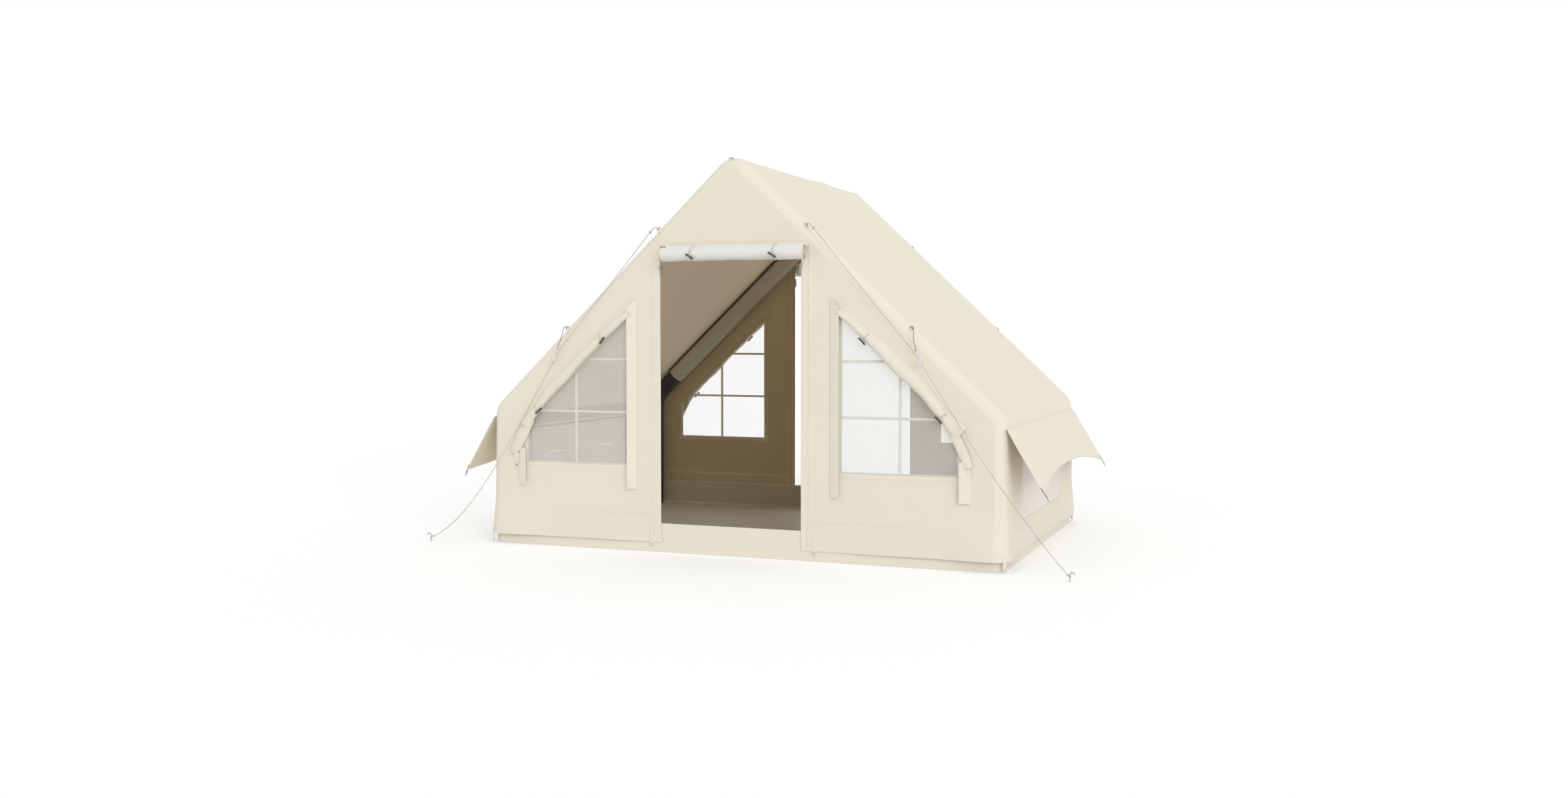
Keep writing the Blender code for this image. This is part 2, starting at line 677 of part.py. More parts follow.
def make_lowered_cover(end_word, end, side_word, side):
    name = f"{end_word}_window_cover_{side_word}"
    outline = window_outline(COVER_LAP, COVER_LAP + COVER_LIFT)
    mesh = panel_mesh(name, [facing(outline, side)], end * (HALF_DEPTH + GAP), end * (HALF_DEPTH + GAP + CANVAS))
    add_object(name, mesh, CANVAS_CREAM)


def toggle_mesh():
    return disc_mesh("toggle", TOGGLE_RADIUS, -TOGGLE_LENGTH / 2, TOGGLE_LENGTH / 2, 10, TOGGLE_EDGE)


def add_toggle(name, centre, out, along, slant):
    """A barrel whose origin is on its pivot. Out is the pivot, and slant turns it from along."""
    pivot = Vector(out).normalized()
    lengthwise = Matrix.Rotation(slant, 3, pivot) @ Vector(along)
    made = add_object(name, toggle_mesh(), TOGGLE_GREY)
    made.matrix_world = axis_frame(centre, lengthwise, pivot)


def make_cover_toggles(end_word, end, side_word, side, lowered):
    out = Vector((0, end, 0))
    for order, number, slant in zip(("upper", "lower"), COVER_TOGGLES, COVER_TOGGLE_SLANTS[end * side]):
        centre, wide, thick = cover_station(number, end, side)
        along = cover_direction(number, end, side)
        inward = along.cross(out)
        if inward.z > 0:
            inward = -inward
        turn = 0 if lowered else COVER_TOGGLE_TURN
        pivot = out * math.cos(turn) + inward * math.sin(turn)
        reach = thick + TIE + GAP + TOGGLE_RADIUS
        if lowered:
            centre.y = end * (HALF_DEPTH + GAP + CANVAS)
            reach = GAP + TOGGLE_RADIUS
        name = f"{end_word}_cover_toggle_{side_word}_{order}"
        add_toggle(name, centre + pivot * reach, pivot, along, math.radians(slant))


# Rolled doors
def make_door_roll(end_word, end):
    name = end_word + "_door_roll"
    left, right = sorted((-end * DOOR_ROLL_LEFT, -end * DOOR_ROLL_RIGHT))
    centre_y = end * (HALF_DEPTH + GAP + TIE + DOOR_ROLL_RADIUS)
    steps = len(DOOR_ROLL_SAG) - 1
    line = [(left + (right - left) * step / steps, centre_y, DOOR_ROLL_HEIGHT) for step in range(steps + 1)]
    made = add_object(name, tube_mesh(name, line, DOOR_ROLL_RADIUS, 6, shares=DOOR_ROLL_SAG), DOOR_WHITE)
    depth = sorted((end * (HALF_DEPTH + GAP), end * (HALF_DEPTH + GAP + DOOR_HEAD_CLOTH)))
    head = box_mesh("head", (left + GAP, depth[0], DOOR_ROLL_HEIGHT - DOOR_HEAD_CLOTH),
                    (right - GAP, depth[1], LINTEL + DOOR_HEAD_LAP))
    boolean(made, add_cutter(name + "_head", head), "UNION")
    for number, x in enumerate((DOOR_TIE_LEFT, DOOR_TIE_RIGHT)):
        centre = (-end * x, centre_y, DOOR_ROLL_HEIGHT)
        across = (0, end * math.sin(TIE_TURN), math.cos(TIE_TURN))
        tie = ring_mesh("tie", DOOR_ROLL_RADIUS, TIE, axis_frame(centre, (1, 0, 0), across), 20, 6)
        boolean(made, add_cutter(f"{name}_tie_{number}", tie), "UNION")
        pivot = Vector((0, end * math.cos(DOOR_TOGGLE_DROP), -math.sin(DOOR_TOGGLE_DROP)))
        reach = DOOR_ROLL_RADIUS + TIE + GAP + TOGGLE_RADIUS
        word = "left" if -end * x < 0 else "right"
        add_toggle(f"{end_word}_door_toggle_{word}", Vector(centre) + pivot * reach, pivot,
                   Vector((1, 0, 0)), DOOR_TOGGLE_SLANT * -end)


# Zip sliders, clipped over the edge of each jamb
def make_zip_slider(end_word, end, side_word, side):
    name = f"{end_word}_zip_slider_{side_word}"
    wide, deep, tall = SLIDER_SIZE
    edge = side * DOOR_EDGE[end * side]
    middle = end * (HALF_DEPTH - CANVAS / 2)
    body = box_mesh(name, (edge - wide / 2, middle - deep / 2, SLIDER_HEIGHT - tall / 2),
                    (edge + wide / 2, middle + deep / 2, SLIDER_HEIGHT + tall / 2))
    made = add_object(name, body, ZIP_METAL)
    slot = CANVAS / 2 + GAP
    reach = sorted((edge - side * GAP, edge + side * wide))
    cutter = box_mesh("slot", (reach[0], middle - slot, SLIDER_HEIGHT - tall),
                      (reach[1], middle + slot, SLIDER_HEIGHT + tall))
    boolean(made, add_cutter(name + "_slot", cutter), "DIFFERENCE")
    pull_wide, pull_deep, pull_long = SLIDER_PULL
    face = middle + end * deep / 2
    depth = sorted((face - end * pull_deep / 2, face + end * pull_deep / 2))
    centre_x = edge - side * wide / 4
    low = SLIDER_HEIGHT - tall / 2 - pull_long
    pull = box_mesh("pull", (centre_x - pull_wide / 2, depth[0], low),
                    (centre_x + pull_wide / 2, depth[1], SLIDER_HEIGHT))
    boolean(made, add_cutter(name + "_pull", pull), "UNION")


# Air beams, sleeves and the ridge spreader
def beam_points(end, stations):
    y = end * (HALF_DEPTH - BEAM_INSET)
    return [(p[0], y, p[1]) for p, n in stations]


def sleeve_stations():
    """The part of the beam's line that its sleeve covers."""
    slope = [s for s in BEAM_HALF if s[0][0] < SLEEVE_END_X]
    height = pitched_peak(BEAM_INSET) - math.tan(ROOF_PITCH) * SLEEVE_END_X
    return whole_outline([((SLEEVE_END_X, height), slope[0][1])] + slope)


def valve_place(end):
    """Frame of the valve, whose Z leaves the beam's line towards the middle of the tent."""
    leg = (-(HALF_WIDTH - BEAM_INSET), end * (HALF_DEPTH - BEAM_INSET), VALVE_HEIGHT)
    return axis_frame(leg, (1, -end, 0))


def make_beam(end_word, end):
    """A skin full of air, closed at both feet and open only where the valve goes in."""
    line = beam_points(end, whole_outline(BEAM_HALF))
    name = end_word + "_air_beam"
    beam = add_object(name, tube_mesh(name, line, BEAM_RADIUS, 4), BEAM_CHARCOAL)
    air_line = list(line)
    for foot in (0, -1):
        x, y, z = line[foot]
        air_line[foot] = (x, y, z + BEAM_SKIN)
    air = tube_mesh("air", air_line, BEAM_RADIUS - BEAM_SKIN, 4)
    boolean(beam, add_cutter(name + "_air", air), "DIFFERENCE")
    hole = disc_mesh("hole", VALVE_STEM_RADIUS + GAP, BEAM_RADIUS / 2, BEAM_RADIUS + VALVE_REACH, 16)
    hole.transform(valve_place(end))
    boolean(beam, add_cutter(name + "_valve_hole", hole), "DIFFERENCE")
    name = end_word + "_beam_sleeve"
    inner = BEAM_RADIUS + GAP
    line = beam_points(end, sleeve_stations())
    sleeve = add_object(name, tube_mesh(name, line, inner, 4, caps=False), SLEEVE_TAUPE)
    shell = sleeve.modifiers.new("cloth", "SOLIDIFY")
    shell.thickness = SLEEVE
    shell.offset = 1.0
    shell.use_even_offset = True


def make_spreader():
    """A tube along the ridge that holds the two beams apart, its ends fitted to them."""
    height = BEAM_HALF[-1][0][1]
    reach = HALF_DEPTH - BEAM_INSET
    line = [(0, -reach, height), (0, reach, height)]
    made = add_object("ridge_spreader", tube_mesh("ridge_spreader", line, SPREADER_RADIUS, 4, caps=False),
                      BEAM_CHARCOAL)
    skin = made.modifiers.new("skin", "SOLIDIFY")
    skin.thickness = BEAM_SKIN
    skin.offset = -1.0
    skin.use_even_offset = True
    clear = BEAM_RADIUS + GAP + SLEEVE + GAP
    for word, end in ENDS.items():
        line = beam_points(end, sleeve_stations())
        boolean(made, add_cutter("spreader_end_" + word, tube_mesh("seat", line, clear, 4)), "DIFFERENCE")


# Inflation valves
def make_valve(end_word, end):
    place = valve_place(end)
    seat = BEAM_RADIUS + GAP
    name = end_word + "_valve_body"
    body = disc_mesh(name, VALVE_RADIUS, BEAM_RADIUS / 2, seat + VALVE_REACH, 16)
    body.transform(place)
    made = add_object(name, body, VALVE_BLACK)
    x, y, z = place.translation
    skin = tube_mesh("leg", [(x, y, 0.0), (x, y, 2 * z)], seat, 4)
    boolean(made, add_cutter(name + "_seat", skin), "DIFFERENCE")
    stem = disc_mesh("stem", VALVE_STEM_RADIUS, BEAM_RADIUS - VALVE_STEM_DEPTH, seat + VALVE_REACH / 2, 16)
    stem.transform(place)
    boolean(made, add_cutter(name + "_stem", stem), "UNION")
    name = end_word + "_valve_cap"
    cap = add_object(name, disc_mesh(name, CAP_RADIUS, 0, CAP_HEIGHT, 16, CAP_EDGE), VALVE_BLACK)
    cap.matrix_world = place @ Matrix.Translation((0, 0, seat + VALVE_REACH + GAP))
    long, wide, tall = CAP_GRIP
    grip = box_mesh("grip", (-long / 2, -wide / 2, CAP_HEIGHT - tall / 2),
                    (long / 2, wide / 2, CAP_HEIGHT + tall / 2), cap.matrix_world)
    boolean(cap, add_cutter(name + "_grip", grip), "UNION")


# Awnings
def make_awning(word, side):
    """A flap hung from the eave seam, its lower edge cut in a curve between two points."""
    hinge = Vector((side * (HALF_WIDTH + AWNING_CLOTH / 2 + GAP), 0, SEAM_HEIGHT))
    down = Vector((side * math.sin(AWNING_TILT), 0, -math.cos(AWNING_TILT)))
    out = Vector((side * math.cos(AWNING_TILT), 0, math.sin(AWNING_TILT)))
    rows = []
    for down_step in range(6):
        row = []
        for step in range(13):
            share = -1 + 2 * step / 12
            length = AWNING_MIDDLE + (AWNING_TIP - AWNING_MIDDLE) * abs(share) ** AWNING_CURVE
            fall = down_step / 5
            billow = AWNING_BILLOW * math.sin(math.pi * fall) * (1 - share * share)
            spot = down * length * fall + out * billow
            row.append((spot.x, share * AWNING_HALF, spot.z))
        rows.append(row)
    if side > 0:
        rows.reverse()
    made = sheet_object("awning_" + word, rows, AWNING_CLOTH, 0.0, CANVAS_CREAM)
    made.location = hinge


# Guy ropes and what is on them
def on_side(points, side):
    return [Vector((side * x, y, z)) for x, y, z in points]


def smooth_line(points, spacing):
    """Points along a smooth curve through the route's own points."""
    padded = [2 * points[0] - points[1]] + points + [2 * points[-1] - points[-2]]
    line = [points[0]]
    for i in range(1, len(padded) - 2):
        before, start, finish, after = padded[i - 1:i + 3]
        steps = max(1, round((finish - start).length / spacing))
        for step in range(1, steps + 1):
            t = step / steps
            line.append(0.5 * (2 * start + (finish - before) * t
                               + (2 * before - 5 * start + 4 * finish - after) * t * t
                               + (3 * start - before - 3 * finish + after) * t ** 3))
    return line


def make_rope(word, side):
    route = on_side(ROPE_UPPER + (RING_CENTRE,) + ROPE_LOWER[word], side)
    name = "guy_rope_" + word
    add_object(name, tube_mesh(name, smooth_line(route, ROPE_SPACING), ROPE_RADIUS, 2), ROPE_CREAM)
    name = "bridle_cord_" + word
    route = on_side(BRIDLE, side)
    add_object(name, tube_mesh(name, smooth_line(route, ROPE_SPACING / 2), BRIDLE_RADIUS, 2), ROPE_CREAM)


def rope_direction(word, side):
    spots = on_side(ROPE_LOWER[word], side)
    return (spots[TENSIONER_STATION + 1] - spots[TENSIONER_STATION]).normalized()


def make_ring(word, side):
    """The ring that the rope runs through, hung on the bridle cord."""
    centre = on_side((RING_CENTRE,), side)[0]
    name = "guy_ring_" + word
    place = axis_frame(centre, rope_direction(word, side))
    add_object(name, ring_mesh(name, RING_RADIUS, RING_WIRE, place, 16, 6), FITTING_WHITE)


def make_tensioner(word, side):
    """A flat runner that the rope passes through lengthwise."""
    name = "guy_tensioner_" + word
    wide, thick, long = TENSIONER_SIZE
    bm = bmesh.new()
    bmesh.ops.create_cube(bm, size=1.0)
    bmesh.ops.scale(bm, vec=(wide, thick, long), verts=bm.verts)
    bmesh.ops.bevel(bm, geom=[e for e in bm.edges if abs((e.verts[0].co - e.verts[1].co).z) < 1e-6
                              and abs((e.verts[0].co - e.verts[1].co).y) > 1e-6],
                    offset=TENSIONER_CORNER, segments=2, profile=0.5, affect="EDGES")
    made = add_object(name, mesh_of(bm, name), FITTING_WHITE)
    spot = on_side(ROPE_LOWER[word], side)[TENSIONER_STATION]
    made.matrix_world = axis_frame(spot, rope_direction(word, side), (0, 1, 0)) @ Matrix.Rotation(math.pi / 2, 4, "Z")
    bore = disc_mesh("bore", TENSIONER_BORE, -long, long, 10)
    bore.transform(made.matrix_world)
    boolean(made, add_cutter(name + "_bore", bore), "DIFFERENCE")


def make_peg(word, side):
    """The head of a driven peg: the part that stands out of the ground, with its hook."""
    x, y = PEG_FOOT
    turns = [math.pi * step / 6 for step in range(7)]
    hook = [(x + PEG_HOOK * (1 - math.cos(t)), y, PEG_HEIGHT + PEG_HOOK * math.sin(t)) for t in turns]
    line = on_side([(x, y, 0.0)] + hook, side)
    name = "guy_peg_" + word
    add_object(name, tube_mesh(name, line, PEG_RADIUS, 4), PEG_STEEL)


make_groundsheet()
make_roof()
make_spreader()
for side_name, side_sign in SIDES.items():
    make_side_wall(side_name, side_sign)
    make_awning(side_name, side_sign)
    make_rope(side_name, side_sign)
    make_ring(side_name, side_sign)
    make_tensioner(side_name, side_sign)
    make_peg(side_name, side_sign)
for end_name, end_sign in ENDS.items():
    make_gable_top(end_name, end_sign)
    make_door_roll(end_name, end_sign)
    make_beam(end_name, end_sign)
    make_valve(end_name, end_sign)
    for side_name, side_sign in SIDES.items():
        let_down = (end_name, side_name) == ("rear", "right")
        make_gable_wall(end_name, end_sign, side_name, side_sign)
        make_gable_window(end_name, end_sign, side_name, side_sign)
        make_zip_slider(end_name, end_sign, side_name, side_sign)
        make_cover = make_lowered_cover if let_down else make_rolled_cover
        make_cover(end_name, end_sign, side_name, side_sign)
        make_cover_toggles(end_name, end_sign, side_name, side_sign, let_down)
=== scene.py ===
import bmesh
import bpy
from math import cos, dist, pi, radians, sin, tan
from mathutils import Matrix, Vector, noise


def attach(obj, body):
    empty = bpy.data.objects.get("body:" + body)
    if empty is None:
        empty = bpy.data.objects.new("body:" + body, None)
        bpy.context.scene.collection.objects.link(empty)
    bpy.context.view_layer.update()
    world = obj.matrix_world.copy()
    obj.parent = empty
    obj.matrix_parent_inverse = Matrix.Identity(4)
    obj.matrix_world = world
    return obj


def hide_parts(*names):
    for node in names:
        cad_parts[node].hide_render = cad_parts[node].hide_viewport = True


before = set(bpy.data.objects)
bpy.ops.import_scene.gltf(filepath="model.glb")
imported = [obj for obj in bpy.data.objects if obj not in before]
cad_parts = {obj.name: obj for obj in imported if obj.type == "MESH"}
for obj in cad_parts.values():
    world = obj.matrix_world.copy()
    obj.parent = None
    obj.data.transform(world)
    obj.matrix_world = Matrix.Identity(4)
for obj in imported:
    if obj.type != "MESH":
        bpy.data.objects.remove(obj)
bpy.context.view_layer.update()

# Camera: chest height, a little to the right of the front gable and turned back towards it,
# as the straight edges of the photographed tent give it. It takes in a 2576 by 1311 frame.
CAMERA_PLACE = (2.9817, -8.0746, 1.2333)
CAMERA_FORWARD = Vector((-0.3551, 0.9336, -0.0483))
CAMERA_UP = Vector((-0.01786, 0.04488, 0.99883))
FRAME_WIDTH = 2576
FOCAL_PIXELS = 2299.28

lens = bpy.data.cameras.new("camera")
lens.sensor_width = 36
lens.lens = lens.sensor_width * FOCAL_PIXELS / FRAME_WIDTH
lens.clip_end = 200
camera = bpy.data.objects.new("camera", lens)
bpy.context.scene.collection.objects.link(camera)
backward = -CAMERA_FORWARD.normalized()
rightward = CAMERA_UP.cross(backward).normalized()
camera.matrix_world = (Matrix.Translation(CAMERA_PLACE)
                       @ Matrix((rightward, backward.cross(rightward), backward)).transposed().to_4x4())
bpy.context.scene.camera = camera


# Guy ropes: 5 mm braided cord tied to a loop high on the front beam's edge, led through a
# ring and a runner, and pegged to the ground. A thin cord ties each ring to the loop below.
SIDES = {"left": -1, "right": 1}
ENDS = {"front": -1, "rear": 1}
ROPE_RADIUS = 0.0025
BRIDLE_RADIUS = 0.0018
ROPE_SPACING = 0.040
RING_CENTRE = (1.0400, -1.0900, 1.1280)
ROPE_UPPER = (
    (0.4406, -1.0508, 1.8040), (0.4434, -1.0548, 1.8070), (0.4560, -1.0585, 1.8040),
    (0.4800, -1.0610, 1.7810), (0.6500, -1.0700, 1.5800), (0.8600, -1.0810, 1.3370),
    (1.0000, -1.0880, 1.1750), (1.0200, -1.0890, 1.1520),
)
ROPE_LOWER = {
    "right": (
        (1.0565, -1.0907, 1.1030), (1.0730, -1.0914, 1.0780), (1.1060, -1.0928, 1.0280),
        (1.1390, -1.0942, 0.9780), (1.1720, -1.0956, 0.9280), (1.2050, -1.0970, 0.8780),
        (1.3550, -1.1110, 0.6550), (1.5000, -1.1250, 0.4550), (1.6400, -1.1400, 0.2780),
        (1.7600, -1.1550, 0.1350), (1.8420, -1.1640, 0.0440), (1.8580, -1.1658, 0.0262),
    ),
    "left": (
        (1.0550, -1.0907, 1.1030), (1.0700, -1.0914, 1.0780), (1.1000, -1.0928, 1.0280),
        (1.1300, -1.0942, 0.9780), (1.1600, -1.0956, 0.9280), (1.1900, -1.0970, 0.8780),
        (1.3000, -1.1100, 0.6850), (1.4180, -1.1220, 0.4980), (1.5550, -1.1340, 0.3000),
        (1.6900, -1.1470, 0.1450), (1.8050, -1.1590, 0.0520), (1.8588, -1.1658, 0.0262),
    ),
}
BRIDLE = (
    (1.0205, -1.0508, 1.2574), (1.0228, -1.0541, 1.2598), (1.0290, -1.0575, 1.2560),
    (1.0325, -1.0650, 1.2350), (1.0355, -1.0780, 1.1950), (1.0470, -1.0885, 1.1560),
    (1.0525, -1.0906, 1.1395), (1.0494, -1.0904, 1.1342),
)
PEG_FOOT = (1.8640, -1.1664)
PEG_EYE = 0.0062
# The colours of a finish come in pairs: its light, then its shade.
ROPE_CREAM = (0.86, 0.83, 0.75, 1), (0.66, 0.62, 0.54, 1)
CORD_GREY = (0.40, 0.38, 0.34, 1), (0.20, 0.19, 0.17, 1)


class Wire:
    """One output of a material's nodes. Plain arithmetic on it adds Math nodes."""

    def __init__(self, tree, socket):
        self.tree = tree
        self.socket = socket

    def node(self, kind, settings=None, inputs=None, output=0):
        """Add any other node: its settings first, then the values or links of its sockets."""
        made = self.tree.nodes.new(kind)
        for key, value in (settings or {}).items():
            if key == "stops":
                elements = made.color_ramp.elements
                while len(elements) < len(value):
                    elements.new(1.0)
                for element, (place, tone) in zip(elements, value):
                    element.position = place
                    element.color = (tone, tone, tone, 1)
            else:
                setattr(made, key, value)
        for key, value in (inputs or {}).items():
            if isinstance(value, Wire):
                self.tree.links.new(value.socket, made.inputs[key])
            else:
                made.inputs[key].default_value = value
        return Wire(self.tree, made.outputs[output])

    def maths(self, operation, first, second=0.0):
        return self.node("ShaderNodeMath", {"operation": operation}, {0: first, 1: second})

    def __add__(self, other):
        return self.maths("ADD", self, other)

    __radd__ = __add__

    def __sub__(self, other):
        return self.maths("SUBTRACT", self, other)

    def __rsub__(self, other):
        return self.maths("SUBTRACT", other, self)

    def __mul__(self, other):
        return self.maths("MULTIPLY", self, other)

    __rmul__ = __mul__

    def __gt__(self, other):
        return self.maths("GREATER_THAN", self, other)

    def sine(self):
        return self.maths("SINE", self)

    def size(self):
        return self.maths("ABSOLUTE", self)

    def clamped(self):
        return self.node("ShaderNodeClamp", None, {0: self})

    def part(self, axis):
        return self.node("ShaderNodeSeparateXYZ", None, {0: self}, axis)

    def scaled(self, x, y, z):
        return self.node("ShaderNodeVectorMath", {"operation": "MULTIPLY"}, {0: self, 1: (x, y, z)})

    def noise(self, scale, detail=2.0, roughness=0.5):
        """Smooth noise at this place, from 0 to 1."""
        return self.node("ShaderNodeTexNoise", None,
                         {"Vector": self, "Scale": scale, "Detail": detail, "Roughness": roughness})

    def blend(self, first, second):
        """The first colour where this is 0, the second where it is 1."""
        return self.node("ShaderNodeMix", {"data_type": "RGBA"}, {0: self, 6: first, 7: second}, 2)

    def relief(self, distance, under=None):
        """A normal raised by this height, in units of distance."""
        inputs = {"Strength": 1.0, "Distance": distance, "Height": self}
        if under is not None:
            inputs["Normal"] = under
        return self.node("ShaderNodeBump", None, inputs)


class Finish:
    """A material made round one Principled shader, with its constants set on the shader."""

    def __init__(self, name, **constants):
        self.material = bpy.data.materials.new(name)
        self.material.use_nodes = True
        self.tree = self.material.node_tree
        self.shader = self.tree.nodes["Principled BSDF"]
        for key, value in constants.items():
            self.shader.inputs[key.replace("_", " ")].default_value = value
        start = Wire(self.tree, self.shader.outputs[0])
        self.place = start.node("ShaderNodeTexCoord", output=3)
        self.cloth = start.node("ShaderNodeUVMap", {"uv_map": "UVMap"})
        self.along, self.across = self.cloth.part(1), self.cloth.part(0)

    def feed(self, **wires):
        for key, wire in wires.items():
            self.tree.links.new(wire.socket, self.shader.inputs[key.replace("_", " ")])
        return self

    def dyed(self):
        """What feeds the colour so far, to be blended further."""
        return Wire(self.tree, self.shader.inputs["Base Color"].links[0].from_socket)


def braid_finish(name, light, shade, pitch, strands):
    """Braided cord: diagonal strands in both directions, a few flecks, and a matt sheen."""
    finish = Finish(name, Roughness=0.8, Sheen_Weight=0.2)
    run, turn = finish.along * (2 * pi / pitch), finish.across * strands
    weave = (run + turn).sine() * (run - turn).sine()
    fleck = finish.place.noise(180, 2)
    tone = (weave * 0.35 + fleck * 0.9 - 0.1).clamped()
    return finish.feed(Base_Color=tone.blend(shade, light), Roughness=fleck * 0.2 + 0.7,
                       Normal=weave.relief(0.0004))


def spread(start, finish, count):
    """Evenly spaced values from start to finish, both included."""
    return [start + (finish - start) * step / count for step in range(count + 1)]


def curve_spot(before, start, finish, after, t):
    """A place on a smooth curve through four points, a share t of the way from start to finish."""
    return 0.5 * (2 * start + (finish - before) * t
                  + (2 * before - 5 * start + 4 * finish - after) * t * t
                  + (3 * start - before - 3 * finish + after) * t ** 3)


def smooth_line(points, spacing):
    """Points along a smooth curve through the route's own points."""
    padded = [2 * points[0] - points[1]] + points + [2 * points[-1] - points[-2]]
    line = [points[0]]
    for i in range(1, len(padded) - 2):
        quad = padded[i - 1:i + 3]
        steps = max(1, round((quad[2] - quad[1]).length / spacing))
        line += [curve_spot(*quad, step / steps) for step in range(1, steps + 1)]
    return line


def line_length(line):
    return sum((b - a).length for a, b in zip(line, line[1:]))


def tube_mesh(name, points, radius, resolution=3, shares=None, caps=True, closed=False):
    """A round tube along evenly spaced points. Its UV map is in metres: round it, then along."""
    curve = bpy.data.curves.new(name, "CURVE")
    curve.dimensions = "3D"
    curve.bevel_depth = radius
    curve.bevel_resolution = resolution
    curve.use_fill_caps = caps and not closed
    spline = curve.splines.new("POLY")
    spline.points.add(len(points) - 1)
    spline.use_cyclic_u = closed
    for spot, point, share in zip(spline.points, points, shares or [1.0] * len(points)):
        spot.co = (*point, 1.0)
        spot.radius = share
    holder = bpy.data.objects.new(name, curve)
    bpy.context.scene.collection.objects.link(holder)
    bpy.context.view_layer.update()
    graph = bpy.context.evaluated_depsgraph_get()
    mesh = bpy.data.meshes.new_from_object(holder.evaluated_get(graph))
    bpy.data.objects.remove(holder, do_unlink=True)
    bm = bmesh.new()
    bm.from_mesh(mesh)
    layer = bm.loops.layers.uv.verify()
    girth, length = 2 * pi * radius, line_length(points)
    for face in bm.faces:
        for loop in face.loops:
            loop[layer].uv = (loop[layer].uv.x * girth, loop[layer].uv.y * length)
    bmesh.ops.remove_doubles(bm, verts=bm.verts, dist=1e-6)
    bmesh.ops.recalc_face_normals(bm, faces=bm.faces)
    if bm.calc_volume(signed=True) < 0:
        bmesh.ops.reverse_faces(bm, faces=bm.faces)
    bm.to_mesh(mesh)
    bm.free()
    mesh.shade_smooth()
    mesh.set_sharp_from_angle(angle=radians(50))
    return mesh


def add_piece(name, mesh, finishes, replaced=(), body="tent"):
    """Put a finished mesh in the scene, on its body."""
    piece = bpy.data.objects.new(name, mesh)
    bpy.context.scene.collection.objects.link(piece)
    mesh.name = name
    for finish in finishes:
        mesh.materials.append(finish.material)
    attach(piece, body)
    if replaced:
        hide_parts(*replaced)
    return piece


def joined(meshes):
    """Several meshes in one."""
    bm = bmesh.new()
    for mesh in meshes:
        bm.from_mesh(mesh)
        bpy.data.meshes.remove(mesh)
    made = bpy.data.meshes.new("joined")
    bm.to_mesh(made)
    bm.free()
    return made


def knot_mesh(centre, run, radius):
    """An overhand knot of cord of this radius, drawn up round the centre."""
    turn = Vector((0, 0, 1)).rotation_difference(Vector(run)).to_matrix()
    line = []
    for t in spread(0, 2 * pi, 48)[:-1]:
        spot = Vector((sin(t) + 2 * sin(2 * t), cos(t) - 2 * cos(2 * t), -1.5 * sin(3 * t)))
        line.append(Vector(centre) + turn @ spot * radius * 0.75)
    return tube_mesh("knot", line, radius, 2, closed=True)


def ring_line(centre, across, upward, count=24):
    """Points of a closed ellipse, given its two half axes."""
    return [Vector(centre) + Vector(across) * cos(2 * pi * i / count)
            + Vector(upward) * sin(2 * pi * i / count) for i in range(count)]


def ring_mesh(centre, across, upward, radius, count=24):
    """A closed ring of cord or wire, given its two half axes."""
    return tube_mesh("ring", ring_line(centre, across, upward, count), radius, 2, closed=True)


def on_side(points, side):
    return [Vector((side * x, y, z)) for x, y, z in points]


rope_braid = braid_finish("rope_braid", *ROPE_CREAM, 0.008, 1200)
cord_braid = braid_finish("cord_braid", *CORD_GREY, 0.005, 1600)
for word, side in SIDES.items():
    down = (side, 0, -1)
    line = smooth_line(on_side(ROPE_UPPER + (RING_CENTRE,) + ROPE_LOWER[word], side), ROPE_SPACING)
    rope = add_piece("guy_rope_braid_" + word, tube_mesh("rope", line, ROPE_RADIUS), [rope_braid],
                     ["guy_rope_" + word])
    foot = line[-1]
    peg = Vector((side * PEG_FOOT[0], PEG_FOOT[1], foot.z))
    knots = joined([knot_mesh(line[0] + Vector((side * 0.0015, -0.0015, 0.001)), down, 0.0020),
                    knot_mesh(on_side(ROPE_UPPER, side)[3], down, 0.0028),
                    knot_mesh(foot + Vector((-side * 0.004, 0.0002, 0.004)), (side * 0.45, 0, -0.9), 0.0020),
                    ring_mesh(peg, (side * PEG_EYE, 0, -0.004), (0, PEG_EYE, 0), 0.0021)])
    knot = add_piece("guy_rope_knots_" + word, knots, [rope_braid])
    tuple(line[0])
    round(line_length(line), 3)
    line = smooth_line(on_side(BRIDLE, side), ROPE_SPACING / 2)
    cord = add_piece("bridle_braid_" + word, tube_mesh("cord", line, BRIDLE_RADIUS), [cord_braid],
                     ["bridle_cord_" + word])
    knots = joined([knot_mesh(spot, down, 0.0014) for spot in (line[0], line[-1])])
    knot = add_piece("bridle_knots_" + word, knots, [cord_braid])
    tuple(line[0])
    round(line_length(line), 3)


# Studio: a pale floor and a white surround, which the camera sees as plain white, with one
# broad soft lamp from the front right and above.
FLOOR_WHITE = (0.88, 0.88, 0.87, 1)
FLOOR_HALF = 60
FLOOR_DROP = 0.001
FLOOR_GLOW = 0.25
SURROUND_LIGHT = 0.75
LAMP_DIRECTION = (-0.62, 0.68, -0.38)
LAMP_STRENGTH = 0.90
LAMP_SPREAD = radians(42)


def seen_rays(wire):
    """1 for the rays whose background shows: the camera's, a reflection's and glass's."""
    paths = [wire.node("ShaderNodeLightPath", output=name)
             for name in ("Is Camera Ray", "Is Glossy Ray", "Is Transmission Ray")]
    return (paths[0] + paths[1] + paths[2]).clamped()


